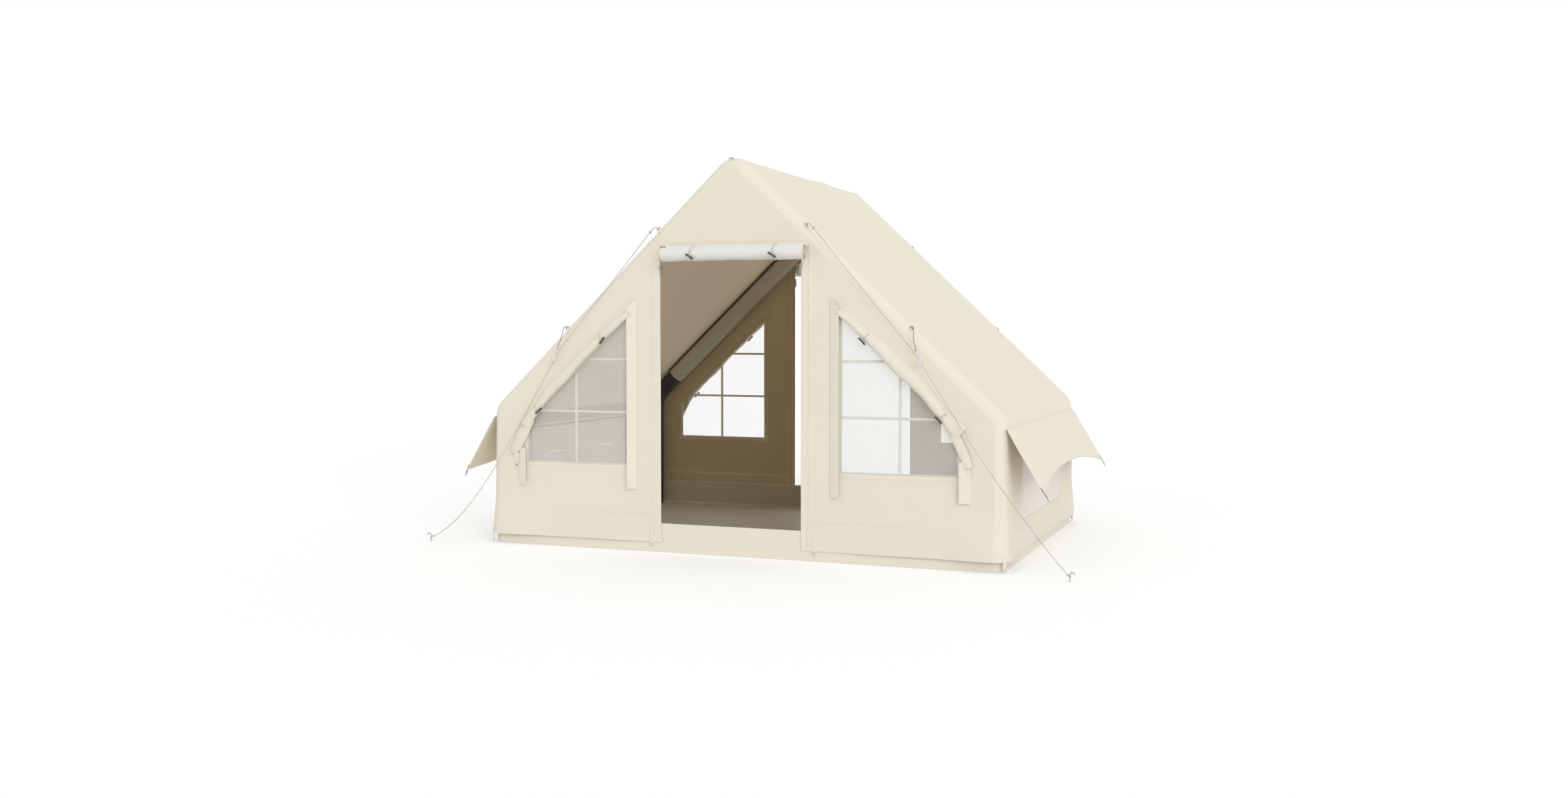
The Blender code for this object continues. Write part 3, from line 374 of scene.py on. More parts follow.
bm = bmesh.new()
bmesh.ops.create_grid(bm, x_segments=4, y_segments=4, size=FLOOR_HALF)
bmesh.ops.translate(bm, vec=(0, 0, -FLOOR_DROP), verts=bm.verts)
mesh = bpy.data.meshes.new("floor")
bm.to_mesh(mesh)
bm.free()
floor = bpy.data.objects.new("floor", mesh)
bpy.context.scene.collection.objects.link(floor)
paint = bpy.data.materials.new("floor_white")
paint.use_nodes = True
paint.node_tree.nodes.clear()
output = Wire(paint.node_tree, paint.node_tree.nodes.new("ShaderNodeOutputMaterial").inputs[0])
coat = output.node("ShaderNodeBsdfDiffuse", None, {"Color": FLOOR_WHITE})
glow = output.node("ShaderNodeEmission", None, {"Strength": seen_rays(output) * FLOOR_GLOW})
both = output.node("ShaderNodeAddShader", None, {0: coat, 1: glow})
paint.node_tree.links.new(both.socket, output.socket)
mesh.materials.append(paint)

world = bpy.data.worlds.new("surround")
world.use_nodes = True
bpy.context.scene.world = world
ground = world.node_tree.nodes["Background"]
ground.inputs["Color"].default_value = (1, 1, 1, 1)
sky = Wire(world.node_tree, ground.outputs[0])
level = seen_rays(sky) * (1 - SURROUND_LIGHT) + SURROUND_LIGHT
world.node_tree.links.new(level.socket, ground.inputs["Strength"])

lamp = bpy.data.lights.new("lamp", "SUN")
lamp.energy = LAMP_STRENGTH
lamp.angle = LAMP_SPREAD
holder = bpy.data.objects.new("lamp", lamp)
bpy.context.scene.collection.objects.link(holder)
holder.rotation_euler = Vector(LAMP_DIRECTION).to_track_quat("-Z", "Y").to_euler()
bpy.context.scene.view_settings.view_transform = "Standard"


# Groundsheet: a tub of coated cloth, cream outside and taupe inside, its floor loose on the
# ground and its low wall standing behind the canvas. The top edge is bound in tape.
GAP = 0.0003
HALF_WIDTH = 1.512
HALF_DEPTH = 1.050
CANVAS = 0.003
TUB_HEIGHT = 0.160
EDGE_RADIUS = 0.0614
BINDING_INSET = 0.0045
BINDING_RADIUS = 0.0016
TUB_CLOTH = 0.0015
TUB_ROWS = 5
SHEET_CREAM = (0.900, 0.845, 0.725, 1), (0.84, 0.78, 0.655, 1)
SHEET_TAUPE = (0.63, 0.575, 0.455, 1), (0.55, 0.50, 0.39, 1)
TUB_WALL_SHADE = (0.48, 0.42, 0.295, 1)


def cloth_finish(name, light, shade, thread, slub=0.35, mottle=0.5, relief=0.0003, sheen=0.25, rough=0.82,
                 hem_dirt=0.0):
    """Woven cloth: crossing threads, longer slubs both ways, slow mottling, and puckers
    where the piece's seam attribute says that it is sewn."""
    finish = Finish(name, Roughness=rough, Sheen_Weight=sheen, Sheen_Roughness=0.5)
    turn = 2 * pi / thread
    threads = (finish.across * turn).sine() * (finish.along * turn).sine()
    warp = finish.cloth.scaled(330, 9, 1).noise(1.0, 3)
    weft = finish.cloth.scaled(9, 330, 1).noise(1.0, 3)
    slubs = warp * 0.5 + weft * 0.5
    patches = finish.place.noise(1.7, 4)
    seam = finish.cloth.node("ShaderNodeAttribute", {"attribute_name": "seam"}, output=2)
    pucker = finish.place.noise(38, 2)
    tone = 0.5 + (slubs - 0.5) * (2 * slub) + (patches - 0.5) * (2 * mottle) - seam * 0.07 + threads * 0.05
    if hem_dirt:
        low = (1 - finish.place.part(2) * 5).clamped()
        tone = tone - low * finish.place.noise(9, 4) * hem_dirt
    height = threads * 0.25 + slubs * 0.8 + seam * (pucker * 7)
    return finish.feed(Base_Color=tone.clamped().blend(shade, light),
                       Roughness=rough - 0.08 + slubs * 0.16, Normal=height.relief(relief))


def edges_of(outline):
    """The outline's edges, as pairs of corners."""
    return list(zip(outline, outline[1:] + outline[:1]))


def score(bm, start, finish, cut_off=False):
    """Cut a pattern along a line, and drop what lies to the right of it if asked."""
    run = (finish[0] - start[0], finish[1] - start[1])
    bmesh.ops.bisect_plane(bm, geom=bm.verts[:] + bm.edges[:] + bm.faces[:], dist=1e-6,
                           plane_co=(*start, 0), plane_no=(run[1], -run[0], 0), clear_outer=cut_off)


def cut_pattern(outline, spacing):
    """A flat grid in the XY plane, cut to an outline that runs anticlockwise and bulges
    outwards everywhere."""
    xs, ys = zip(*outline)
    width, height = max(xs) - min(xs), max(ys) - min(ys)
    bm = bmesh.new()
    bmesh.ops.create_grid(bm, x_segments=max(2, round(width / spacing)),
                          y_segments=max(2, round(height / spacing)), size=0.5)
    bmesh.ops.scale(bm, vec=(width, height, 1), verts=bm.verts)
    bmesh.ops.translate(bm, vec=((min(xs) + max(xs)) / 2, (min(ys) + max(ys)) / 2, 0), verts=bm.verts)
    for start, finish in edges_of(outline):
        score(bm, start, finish, cut_off=True)
    return bm


def inside(spot, outline):
    return all((b[0] - a[0]) * (spot[1] - a[1]) - (b[1] - a[1]) * (spot[0] - a[0]) > 0
               for a, b in edges_of(outline))


def cut_hole(bm, outline):
    for start, finish in edges_of(outline):
        score(bm, start, finish)
    lost = [f for f in bm.faces if inside(f.calc_center_median(), outline)]
    bmesh.ops.delete(bm, geom=lost, context="FACES")


def mesh_from(bm, name, angle=40):
    mesh = bpy.data.meshes.new(name)
    bm.to_mesh(mesh)
    bm.free()
    mesh.shade_smooth()
    mesh.set_sharp_from_angle(angle=radians(angle))
    return mesh


def add_cloth(name, cloth, finishes, slot, thickness, replaced=(), offset=-1.0, lined=False, body="tent"):
    """Put a pattern or mesh of cloth in the scene and give it its thickness. Lined cloth has
    its second material on the inner side."""
    if isinstance(cloth, bmesh.types.BMesh):
        cloth = mesh_from(cloth, name)
    piece = add_piece(name, cloth, finishes, replaced, body)
    shell = piece.modifiers.new("thickness", "SOLIDIFY")
    shell.thickness = thickness
    shell.offset = offset
    shell.use_even_offset = True
    if lined:
        shell.material_offset = 1
        shell.material_offset_rim = 0
    even = piece.modifiers.new("even_shading", "WEIGHTED_NORMAL")
    even.mode = "FACE_AREA"
    even.keep_sharp = True
    return piece


def sew(bm, place, seam=None):
    """Keep the flat pattern as the UV map, then put each of its points in its place. Seam
    gives how near a point of the pattern is to a seam, from 0 to 1."""
    layer = bm.loops.layers.uv.new("UVMap")
    near = bm.verts.layers.float.new("seam")
    for face in bm.faces:
        for loop in face.loops:
            loop[layer].uv = loop.vert.co.xy
    for vert in bm.verts:
        x, y = vert.co.xy
        vert[near] = seam(x, y) if seam else 0.0
        vert.co = place(x, y)


def arc(centre, radius, start, finish, steps):
    """Points of a flat arc from one angle to another."""
    return [(centre[0] + radius * cos(turn), centre[1] + radius * sin(turn))
            for turn in spread(start, finish, steps)]


def rounded_rectangle(half_x, half_y, radius, steps):
    points = []
    for corner, (sign_x, sign_y) in enumerate(((1, 1), (-1, 1), (-1, -1), (1, -1))):
        centre = (sign_x * (half_x - radius), sign_y * (half_y - radius))
        points += arc(centre, radius, corner * pi / 2, (corner + 1) * pi / 2, steps)
    return points


def soft(x):
    """From 0 to 1 with an even start and end."""
    x = min(1.0, max(0.0, x))
    return x * x * (3 - 2 * x)


def drift(x, y, z):
    """Smooth noise at a place, from about -1 to 1."""
    return noise.noise(Vector((x, y, z)))


sheet_outer = cloth_finish("sheet_cream", *SHEET_CREAM, 0.0014, 0.25, 0.6, 0.00018, 0.1, 0.6, hem_dirt=0.25)
sheet_inner = cloth_finish("sheet_taupe", *SHEET_TAUPE, 0.0030, 0.3, 0.7, 0.00025, 0.1, 0.55)
# Painted shade: the tub's inner wall is darker than its floor.
upright = ((sheet_inner.place.part(2) - 0.012) * 200).clamped()
sheet_inner.feed(Base_Color=upright.blend(sheet_inner.dyed(), TUB_WALL_SHADE))
clear = CANVAS + GAP
bm = cut_pattern(rounded_rectangle(HALF_WIDTH - clear, HALF_DEPTH - clear, EDGE_RADIUS - clear, 6), 0.045)
sew(bm, lambda x, y: Vector((x, y, 0.0)))
bmesh.ops.reverse_faces(bm, faces=bm.faces)
layer = bm.loops.layers.uv["UVMap"]
rim = [e for e in bm.edges if e.is_boundary]
for step in range(TUB_ROWS):
    grown = bmesh.ops.extrude_edge_only(bm, edges=rim)["geom"]
    rim = [e for e in grown if isinstance(e, bmesh.types.BMEdge) and e.is_boundary]
    raised = [v for v in grown if isinstance(v, bmesh.types.BMVert)]
    bmesh.ops.translate(bm, vec=(0, 0, TUB_HEIGHT / TUB_ROWS), verts=raised)
    for face in {f for v in raised for f in v.link_faces}:
        for loop in face.loops:
            x, y, z = loop.vert.co
            loop[layer].uv = (x + y, z)
for vert in bm.verts:
    x, y, z = vert.co
    if z < 0.001:
        lift = 0.001 + (drift(x * 2.4, y * 2.4, 0) * 0.004 + drift(x * 7, y * 5, 3) * 0.0015)
        vert.co.z = (max(0.0, lift) * soft((HALF_DEPTH - abs(y)) / 0.2)
                     * soft((HALF_WIDTH - abs(x)) / 0.2))
bm.normal_update()
tub = add_cloth("groundsheet_tub", bm, [sheet_outer, sheet_inner], "groundsheet", TUB_CLOTH,
                ["groundsheet"], lined=True)
edge = rounded_rectangle(HALF_WIDTH - BINDING_INSET, HALF_DEPTH - BINDING_INSET,
                         EDGE_RADIUS - BINDING_INSET, 8)
edge = smooth_line([Vector((*spot, TUB_HEIGHT)) for spot in edge + edge[:1]], 0.05)[:-1]
add_piece("groundsheet_edge_binding", tube_mesh("edge", edge, BINDING_RADIUS, 2, closed=True),
          [sheet_outer])


# Air beams: charcoal film tubes, each welded from a strip and bent to the gable's shape,
# blown hard, with a plain foot on the groundsheet. Their film carries a faint ripple all over.
BEAM_RADIUS = 0.054
BEAM_CLOTH = 0.0025
SLEEVE = 0.0013
BEAM_INSET = CANVAS + GAP + BEAM_CLOTH + GAP + SLEEVE + BEAM_RADIUS
ROOF_PITCH = radians(43.3)
PITCH_SIN, PITCH_COS, PITCH_TAN = sin(ROOF_PITCH), cos(ROOF_PITCH), tan(ROOF_PITCH)
ROOF_PEAK = 2.218
BEAM_BEND = 0.160
BEAM_RIDGE_BEND = 0.056
SPREADER_RADIUS = 0.040
BEAM_FOOT = 0.0028
FILM_CHARCOAL = (0.050, 0.052, 0.060, 1), (0.026, 0.027, 0.032, 1)
CLOTH = 0.0016
TAPE_LIFT = 0.0004
TAPE_PROFILE = ((-0.5, 0.35), (-0.36, 1.0), (0.36, 1.0), (0.5, 0.35))


def pitched_peak(inset):
    return ROOF_PEAK - inset / PITCH_COS


def house_line(half_width, peak, ridge_radius, eave_radius, foot):
    """A function from length along a house outline, from its right foot over the ridge to
    its left one, to the point there and its outward normal, with the outline's length."""
    full = pi / 2 - ROOF_PITCH
    eave = (half_width - eave_radius,
            peak - PITCH_TAN * (half_width - eave_radius) - eave_radius / PITCH_COS)
    ridge = (0.0, peak - ridge_radius / PITCH_COS)
    start = Vector((eave[0] + eave_radius * cos(full), eave[1] + eave_radius * sin(full)))
    finish = Vector((ridge_radius * cos(full), ridge[1] + ridge_radius * sin(full)))
    slope = (finish - start).length
    lengths = (eave[1] - foot, eave_radius * full, slope, ridge_radius * ROOF_PITCH)
    half = sum(lengths)

    def spot(s):
        side = 1
        if s > half:
            s, side = 2 * half - s, -1
        if s < lengths[0]:
            point, normal = (half_width, foot + s), (1.0, 0.0)
        elif s < lengths[0] + lengths[1]:
            turn = (s - lengths[0]) / eave_radius
            normal = (cos(turn), sin(turn))
            point = (eave[0] + eave_radius * normal[0], eave[1] + eave_radius * normal[1])
        elif s < half - lengths[3]:
            share = (s - lengths[0] - lengths[1]) / slope
            normal = (cos(full), sin(full))
            point = start.lerp(finish, share)
        else:
            turn = pi / 2 - (half - s) / ridge_radius
            normal = (cos(turn), sin(turn))
            point = (ridge[0] + ridge_radius * normal[0], ridge[1] + ridge_radius * normal[1])
        return Vector((side * point[0], 0, point[1])), Vector((side * normal[0], 0, normal[1]))

    return spot, 2 * half


def film_finish(name, light, shade):
    """Beam film: a smooth plastic skin with a fine leathery grain and rubbed, duller patches."""
    finish = Finish(name, Roughness=0.4, Coat_Weight=0.15, Coat_Roughness=0.25)
    grain = finish.place.noise(520, 2)
    rubbed = finish.place.noise(7, 5, 0.6)
    ripple = finish.place.scaled(6, 6, 22).noise(1.0, 3)
    tone = (rubbed * 1.5 - 0.3 + (grain - 0.5) * 0.3).clamped()
    height = grain * 0.25 + ripple * 6
    return finish.feed(Base_Color=tone.blend(shade, light), Roughness=rubbed * 0.25 + 0.28,
                       Normal=height.relief(0.0004))


def add_tape(bm, line, width, lift):
    """Add tape laid along a line of (spot, normal) to a bmesh. Its UV map runs across it
    from its middle, then along it."""
    layer = bm.loops.layers.uv.verify()
    made = bmesh.ops.create_grid(bm, x_segments=3, y_segments=len(line) - 1, size=0.5)["verts"]
    places, travelled = [], 0.0
    for number, (spot, normal) in enumerate(line):
        before, after = line[max(0, number - 1)][0], line[min(len(line) - 1, number + 1)][0]
        travelled += (spot - line[max(0, number - 1)][0]).length
        across = (after - before).normalized().cross(normal).normalized()
        for share, rise in TAPE_PROFILE:
            places.append((spot + across * (share * width) + normal * (lift * rise),
                           (share * width, travelled)))
    held = dict(zip(made, places))
    for vert, (spot, _) in held.items():
        vert.co = spot
    for face in {f for v in made for f in v.link_faces}:
        for loop in face.loops:
            loop[layer].uv = held[loop.vert][1]


def add_tapes(name, tapes, finishes, slot, thickness=CLOTH + 2 * TAPE_LIFT, lift=TAPE_LIFT, **others):
    """One piece of sewn tapes, each a line of (spot, normal) and a width."""
    bm = bmesh.new()
    for line, width in tapes:
        add_tape(bm, line, width, lift)
    return add_cloth(name, bm, finishes, slot, thickness, **others)


def resample(line, spacing):
    """The same line with points about this far apart."""
    fine = [line[0]]
    for a, b in zip(line, line[1:]):
        fine += spread(a, b, max(1, round((b - a).length / spacing)))[1:]
    return fine


beam_film = film_finish("beam_film", *FILM_CHARCOAL)
beam_spot, beam_length = house_line(HALF_WIDTH - BEAM_INSET, pitched_peak(BEAM_INSET), BEAM_RIDGE_BEND,
                                    BEAM_BEND, BEAM_FOOT)
BEAM_STATIONS = spread(0, beam_length, 320)
for word, end in ENDS.items():
    place = Vector((0, end * (HALF_DEPTH - BEAM_INSET), 0))
    line = [place + beam_spot(s)[0] for s in BEAM_STATIONS]
    shares = [1 - 0.012 * soft(1 - min(s, beam_length - s) / 0.05) for s in BEAM_STATIONS]
    mesh = tube_mesh("beam", line, BEAM_RADIUS, 8, shares=shares)
    add_piece(word + "_air_beam_skin", mesh, [beam_film], [word + "_air_beam"])
    weld = []
    for s in BEAM_STATIONS[2:-2]:
        spot, normal = beam_spot(s)
        lean = (-normal * 0.5 + Vector((0, -end, 0)) * 0.866).normalized()
        weld.append((spot + place + lean * BEAM_RADIUS, lean))
    add_tapes(word + "_air_beam_weld", [(weld, 0.012)], [beam_film], "beam_skin", 0.0022, 0.0012)
height = beam_spot(beam_length / 2)[0].z
reach = HALF_DEPTH - BEAM_INSET - BEAM_RADIUS + 0.0079
line = resample([Vector((0, -reach, height)), Vector((0, reach, height))], 0.04)
add_piece("ridge_spreader_tube", tube_mesh("spreader", line, SPREADER_RADIUS, 8), [beam_film],
          ["ridge_spreader"])


# Beam sleeves: taupe cloth tubes sewn into the roof over each beam's slopes, open at both
# ends with a turned hem, and slightly rucked all along.
SLEEVE_END_X = 1.292
SLEEVE_TAUPE = (0.62, 0.58, 0.50, 1), (0.54, 0.50, 0.42, 1)
SLEEVE_REACH = GAP + SLEEVE
HEM_RADIUS = BEAM_RADIUS + 0.0026

sleeve_cloth = cloth_finish("sleeve_taupe", *SLEEVE_TAUPE, 0.0012, 0.4, 0.5, 0.0003)
inside_edge = next(s for s in BEAM_STATIONS if beam_spot(s)[0].x < SLEEVE_END_X)
SLEEVE_STATIONS = spread(inside_edge, beam_length - inside_edge, 240)
for word, end in ENDS.items():
    place = Vector((0, end * (HALF_DEPTH - BEAM_INSET), 0))
    line = [place + beam_spot(s)[0] for s in SLEEVE_STATIONS]
    mesh = tube_mesh("sleeve", line, BEAM_RADIUS + SLEEVE_REACH, 8, caps=False)
    for vert in mesh.vertices:
        spot = Vector(vert.co)
        core = Vector((spot.x, place.y, spot.z))
        ruck = noise.noise(spot * 9) * 0.5 + noise.noise(spot * 26) * 0.3
        vert.co += (spot - core).normalized() * (ruck * 0.0006)
    sleeve = add_cloth(word + "_beam_sleeve_cloth", mesh, [sleeve_cloth], "beam_sleeve", 0.0009,
                       [word + "_beam_sleeve"], 1.0)
    round(line_length(line), 3)
    hems = []
    for s in (SLEEVE_STATIONS[3], SLEEVE_STATIONS[-4]):
        spot, normal = beam_spot(s)
        hems.append(ring_mesh(spot + place, normal * HEM_RADIUS, (0, HEM_RADIUS, 0), 0.0012, 48))
    add_piece(word + "_beam_sleeve_hems", joined(hems), [sleeve_cloth])


# Inflation valves: black moulded bodies in the beams' left legs, with screwed caps. They
# are the frame's own solids with a moulded finish.
PLASTIC_BLACK = (0.030, 0.030, 0.032, 1), (0.018, 0.018, 0.019, 1)


def moulded_finish(name, light, shade, roughness=0.38, grain=0.00006):
    """Moulded plastic: fine spark-eroded grain, handling marks and slightly brighter wear."""
    finish = Finish(name, Roughness=roughness, Specular_IOR_Level=0.5)
    grit = finish.place.noise(1500, 2)
    marks = finish.place.noise(60, 5, 0.65)
    tone = (marks * 1.4 - 0.2 + (grit - 0.5) * 0.3).clamped()
    return finish.feed(Base_Color=tone.blend(shade, light), Roughness=marks * 0.25 + (roughness - 0.12),
                       Normal=(grit + marks).relief(grain))


def refinish(node, finish):
    """Give one of the frame's own solids a better material."""
    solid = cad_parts[node]
    solid.data.materials.clear()
    solid.data.materials.append(finish.material)


valve_plastic = moulded_finish("valve_plastic", *PLASTIC_BLACK)
for word in ENDS:
    refinish(word + "_valve_body", valve_plastic)
    refinish(word + "_valve_cap", valve_plastic)


# Gable walls: cream canvas panels either side of each door, cut flat and sewn to the roof,
# the side walls and the panel over the door, with a window opening cut in each.
GABLE_INSET = 0.0615
DOOR_HALF = 0.414
DOOR_EDGE = {1: 0.4244, -1: 0.4069}
HEM_HEIGHT = 0.054
EAVE_RADIUS = 0.135
RIDGE_RADIUS = 0.115
DOOR_SHOULDER = 0.045
LINTEL = pitched_peak(GABLE_INSET) - PITCH_TAN * (DOOR_HALF + DOOR_SHOULDER)
WINDOW_INNER = 0.630
WINDOW_OUTER = 1.271
WINDOW_SILL = 0.481
WINDOW_MARGIN = 0.228
WINDOW_HEAD = ROOF_PEAK - PITCH_TAN * WINDOW_INNER - WINDOW_MARGIN / PITCH_COS
BAND_SEAM = 0.222
JAMB_SEAM = 0.455
WALL_REACH = 1.45
CANVAS_WEAVE = (0.0016, 0.42, 0.35, 0.00035)
CANVAS_CREAM = (0.897, 0.838, 0.720, 1), (0.842, 0.777, 0.652, 1)
# Painted shade: the canvas's inner side is a darker brown copy of the cream, darker still low down.
CANVAS_INNER_SHADE = (0.665, 0.54, 0.35, 1), (0.585, 0.47, 0.295, 1)
CANVAS_INNER_SHADE_LOW = (0.51, 0.40, 0.245, 1)
TAPE_CREAM = (0.885, 0.826, 0.708, 1), (0.830, 0.768, 0.645, 1)
PANEL_SPACING = 0.018
EDGE_PUCKER = 0.12


def window_outline(grow=0.0, sill_lift=0.0):
    """Corners of the right gable window, anticlockwise, let out by grow on every edge."""
    drop = (WINDOW_OUTER - WINDOW_INNER) * PITCH_TAN
    head = WINDOW_HEAD + grow / PITCH_COS
    inner, outer, sill = WINDOW_INNER - grow, WINDOW_OUTER + grow, WINDOW_SILL - grow + sill_lift
    step = grow * PITCH_TAN
    return [(inner, sill), (outer, sill), (outer, head - drop - step), (inner, head + step)]


def facing(outline, side):
    """The outline on the side it is meant for, still anticlockwise."""
    return outline if side > 0 else [(-x, y) for x, y in reversed(outline)]


def edge_distance(x, z):
    """How far inside its seams to the roof and side walls a spot of the gable is."""
    x = abs(x)
    slope = (pitched_peak(GABLE_INSET) - PITCH_TAN * x - z) * PITCH_COS
    return min(slope, HALF_WIDTH - GABLE_INSET - x)


def flare(height):
    """How far the walls stand out near their foot."""
    return 0.006 * soft((0.75 - height) / 0.45) + 0.018 * soft((0.32 - height) / 0.28)


def gable_slack(x, z, end):
    """How far the gable's cloth stands out of its flat plane."""
    place = Vector((x, z, 5.0 * end))
    fold = drift((x * 0.73 + z * 0.68) * 7, (z * 0.73 - x * 0.68) * 1.3, 9 * end)
    hang = drift(x * 13, z * 1.6, 3 * end) * soft((1.0 - z) / 0.5)
    wave = (0.0024 * noise.noise(place * 2.3) + 0.0014 * fold + 0.0009 * hang
            + 0.0006 * noise.noise(place * 11))
    wave = (wave + 0.0006) * soft(edge_distance(x, z) / 0.07) * soft((x * x - 0.16) * 6 + 0.5)
    return wave + flare(z) * (0.3 * soft((abs(x) - 0.46) / 0.4) + 0.7 * soft((abs(x) - 1.12) / 0.3))


def gable_place(end, lift=0.0):
    """From a pattern in the gable's plane to the tent. The rear gable's pattern is mirrored."""
    def place(u, z):
        x = -end * u
        return Vector((x, end * (HALF_DEPTH + gable_slack(x, z, end) + lift), z))
    return place


def segment_distance(spot, start, finish):
    start, finish, spot = Vector(start), Vector(finish), Vector(spot)
    run = finish - start
    share = min(1.0, max(0.0, (spot - start).dot(run) / run.length_squared))
    return (spot - start - run * share).length


GABLE_SEAMS = [((-0.46, LINTEL), (0.46, LINTEL))]
for side in SIDES.values():
    GABLE_SEAMS += [((side * JAMB_SEAM, HEM_HEIGHT), (side * JAMB_SEAM, LINTEL)),
                    ((side * JAMB_SEAM, BAND_SEAM), (side * WALL_REACH, BAND_SEAM)),
                    ((side * 0.42, HEM_HEIGHT), (side * WALL_REACH, HEM_HEIGHT))]
    GABLE_SEAMS += edges_of([(side * x, z) for x, z in window_outline(0.012)])


def gable_seam(x, z):
    """How near a spot of the gable is to a seam, from 0 to 1."""
    near = min(segment_distance((x, z), a, b) for a, b in GABLE_SEAMS)
    return max(soft(1 - near / 0.035), EDGE_PUCKER * soft(1 - edge_distance(x, z) / 0.045))


canvas = cloth_finish("canvas_cream", *CANVAS_CREAM, *CANVAS_WEAVE, hem_dirt=0.12)
# The inner side's colour is painted shade, darkest towards the foot.
inner_shade = cloth_finish("canvas_inner", *CANVAS_INNER_SHADE, *CANVAS_WEAVE)
high = ((inner_shade.place.part(2) - 0.35) * 1.1).clamped()
inner_shade.feed(Base_Color=high.blend(CANVAS_INNER_SHADE_LOW, inner_shade.dyed()))
outer_spot, outer_length = house_line(HALF_WIDTH, ROOF_PEAK, RIDGE_RADIUS, EAVE_RADIUS, 0.0)
EAVE_Z = pitched_peak(0) - PITCH_TAN * (HALF_WIDTH - EAVE_RADIUS) - EAVE_RADIUS / PITCH_COS
SLOPE_TURN = pi / 2 - ROOF_PITCH
eave_arc = arc((HALF_WIDTH - EAVE_RADIUS, EAVE_Z), EAVE_RADIUS - GABLE_INSET, 0, SLOPE_TURN, 8)
crown_arc = arc((0, pitched_peak(0) - RIDGE_RADIUS / PITCH_COS), RIDGE_RADIUS - GABLE_INSET,
                SLOPE_TURN, pi / 2, 8)
slope_end = (pitched_peak(GABLE_INSET) - LINTEL) / PITCH_TAN
for word, end in ENDS.items():
    def end_seam(u, z):
        return gable_seam(-end * u, z)

    for side_word, side in SIDES.items():
        inner = DOOR_EDGE[end * side]
        outline = [(inner, HEM_HEIGHT), (HALF_WIDTH - GABLE_INSET, HEM_HEIGHT), *eave_arc,
                   (slope_end, LINTEL), (inner, LINTEL)]
        bm = cut_pattern(facing(outline, -end * side), PANEL_SPACING)
        cut_hole(bm, facing(window_outline(), -end * side))
        sew(bm, gable_place(end), end_seam)
        name = f"{word}_wall_{side_word}"
        wall = add_cloth(name + "_canvas", bm, [canvas, inner_shade], "canvas", CLOTH, [name], lined=True)
        width, tall = HALF_WIDTH - GABLE_INSET - inner, LINTEL - HEM_HEIGHT
    outline = [(slope_end, LINTEL), *crown_arc]
    bm = cut_pattern(outline + [(-x, z) for x, z in reversed(outline[:-1])], PANEL_SPACING)
    sew(bm, gable_place(end), end_seam)
    piece = add_cloth(word + "_gable_canvas", bm, [canvas, inner_shade], "canvas", CLOTH, [word + "_gable"],
                      lined=True)
    tall = crown_arc[-1][1] - LINTEL
    round(2 * slope_end, 3)
    round(slope_end * tall, 3)


# Seams, hems and facings of the gables: the panels are felled and topstitched, the door and
# window openings are faced with tape, and the foot has a turned hem.
TAPE = 0.018
FACING = 0.025
JAMB_TAPE_X = 0.458
BAND_ENDS = (0.467, 1.441)
HEM_ENDS = (0.415, 1.4495)
# The tapes' inner side is painted shade, a darker brown copy of the cream tape.
INNER_TAPE_SHADE = (0.62, 0.49, 0.32, 1), (0.54, 0.42, 0.27, 1)
STITCH = 0.0042


def stitched_finish(name, light, shade, half_width, rough=0.85):
    """Sewn tape: a ribbed weave with a row of stitches near each edge, in dimples."""
    finish = Finish(name, Roughness=rough, Sheen_Weight=0.2)
    offset = finish.across.size() - (half_width - 0.0028)
    row = (1 - offset.size() * 1100).clamped()
    dash = ((finish.along * (2 * pi / STITCH)).sine() * 2 + 0.9).clamped()
    thread = row * dash
    rib = (finish.along * (2 * pi / 0.0011)).sine() * 0.5 + (finish.across * (2 * pi / 0.0016)).sine() * 0.5
    patches = finish.place.noise(5, 4)
    tone = (patches * 1.1 - 0.05 - row * 0.35 + thread * 0.6 + rib * 0.05).clamped()
    height = thread * 1.4 - row * 1.6 + rib * 0.3 + finish.place.noise(60, 2) * 2.0
    return finish.feed(Base_Color=tone.blend(shade, light), Roughness=patches * 0.14 + (rough - 0.07),
                       Normal=height.relief(0.0003))


def gable_line(end, start, finish, spacing=0.02, lift=0.0):
    """(spot, normal) along a straight seam of the gable."""
    steps = max(2, round(dist(start, finish) / spacing))
    place = gable_place(end, lift)
    return [(place(-end * x, z), Vector((0, end, 0)))
            for x, z in zip(spread(start[0], finish[0], steps), spread(start[1], finish[1], steps))]


seam_tape = stitched_finish("seam_tape", *TAPE_CREAM, TAPE / 2)
inner_tape_shade = stitched_finish("inner_tape_shade", *INNER_TAPE_SHADE, TAPE / 2)
facing_tape = stitched_finish("facing_tape", *TAPE_CREAM, FACING / 2)
hem = HEM_HEIGHT + 0.0128
span = slope_end - 0.035
for word, end in ENDS.items():
    seams = [((-span, LINTEL + 0.024), (span, LINTEL + 0.024))]
    facings = []
    for side in SIDES.values():
        seams += [((side * JAMB_TAPE_X, HEM_HEIGHT), (side * JAMB_TAPE_X, LINTEL)),
                  ((side * BAND_ENDS[0], BAND_SEAM), (side * BAND_ENDS[1], BAND_SEAM))]
        jamb = side * (DOOR_EDGE[end * side] + 0.0126)
        facings += [((side * HEM_ENDS[0], hem), (side * HEM_ENDS[1], hem)),
                    ((jamb, HEM_HEIGHT + 0.001), (jamb, LINTEL - 0.001))]
        facings += edges_of([(side * x, z) for x, z in window_outline(0.0125)])
    add_tapes(word + "_gable_seams", [(gable_line(end, *run), TAPE) for run in seams],
              [seam_tape, inner_tape_shade], "canvas", lined=True)
    add_tapes(word + "_gable_facings", [(gable_line(end, *run), FACING) for run in facings],
              [facing_tape, inner_tape_shade], "canvas", lined=True)


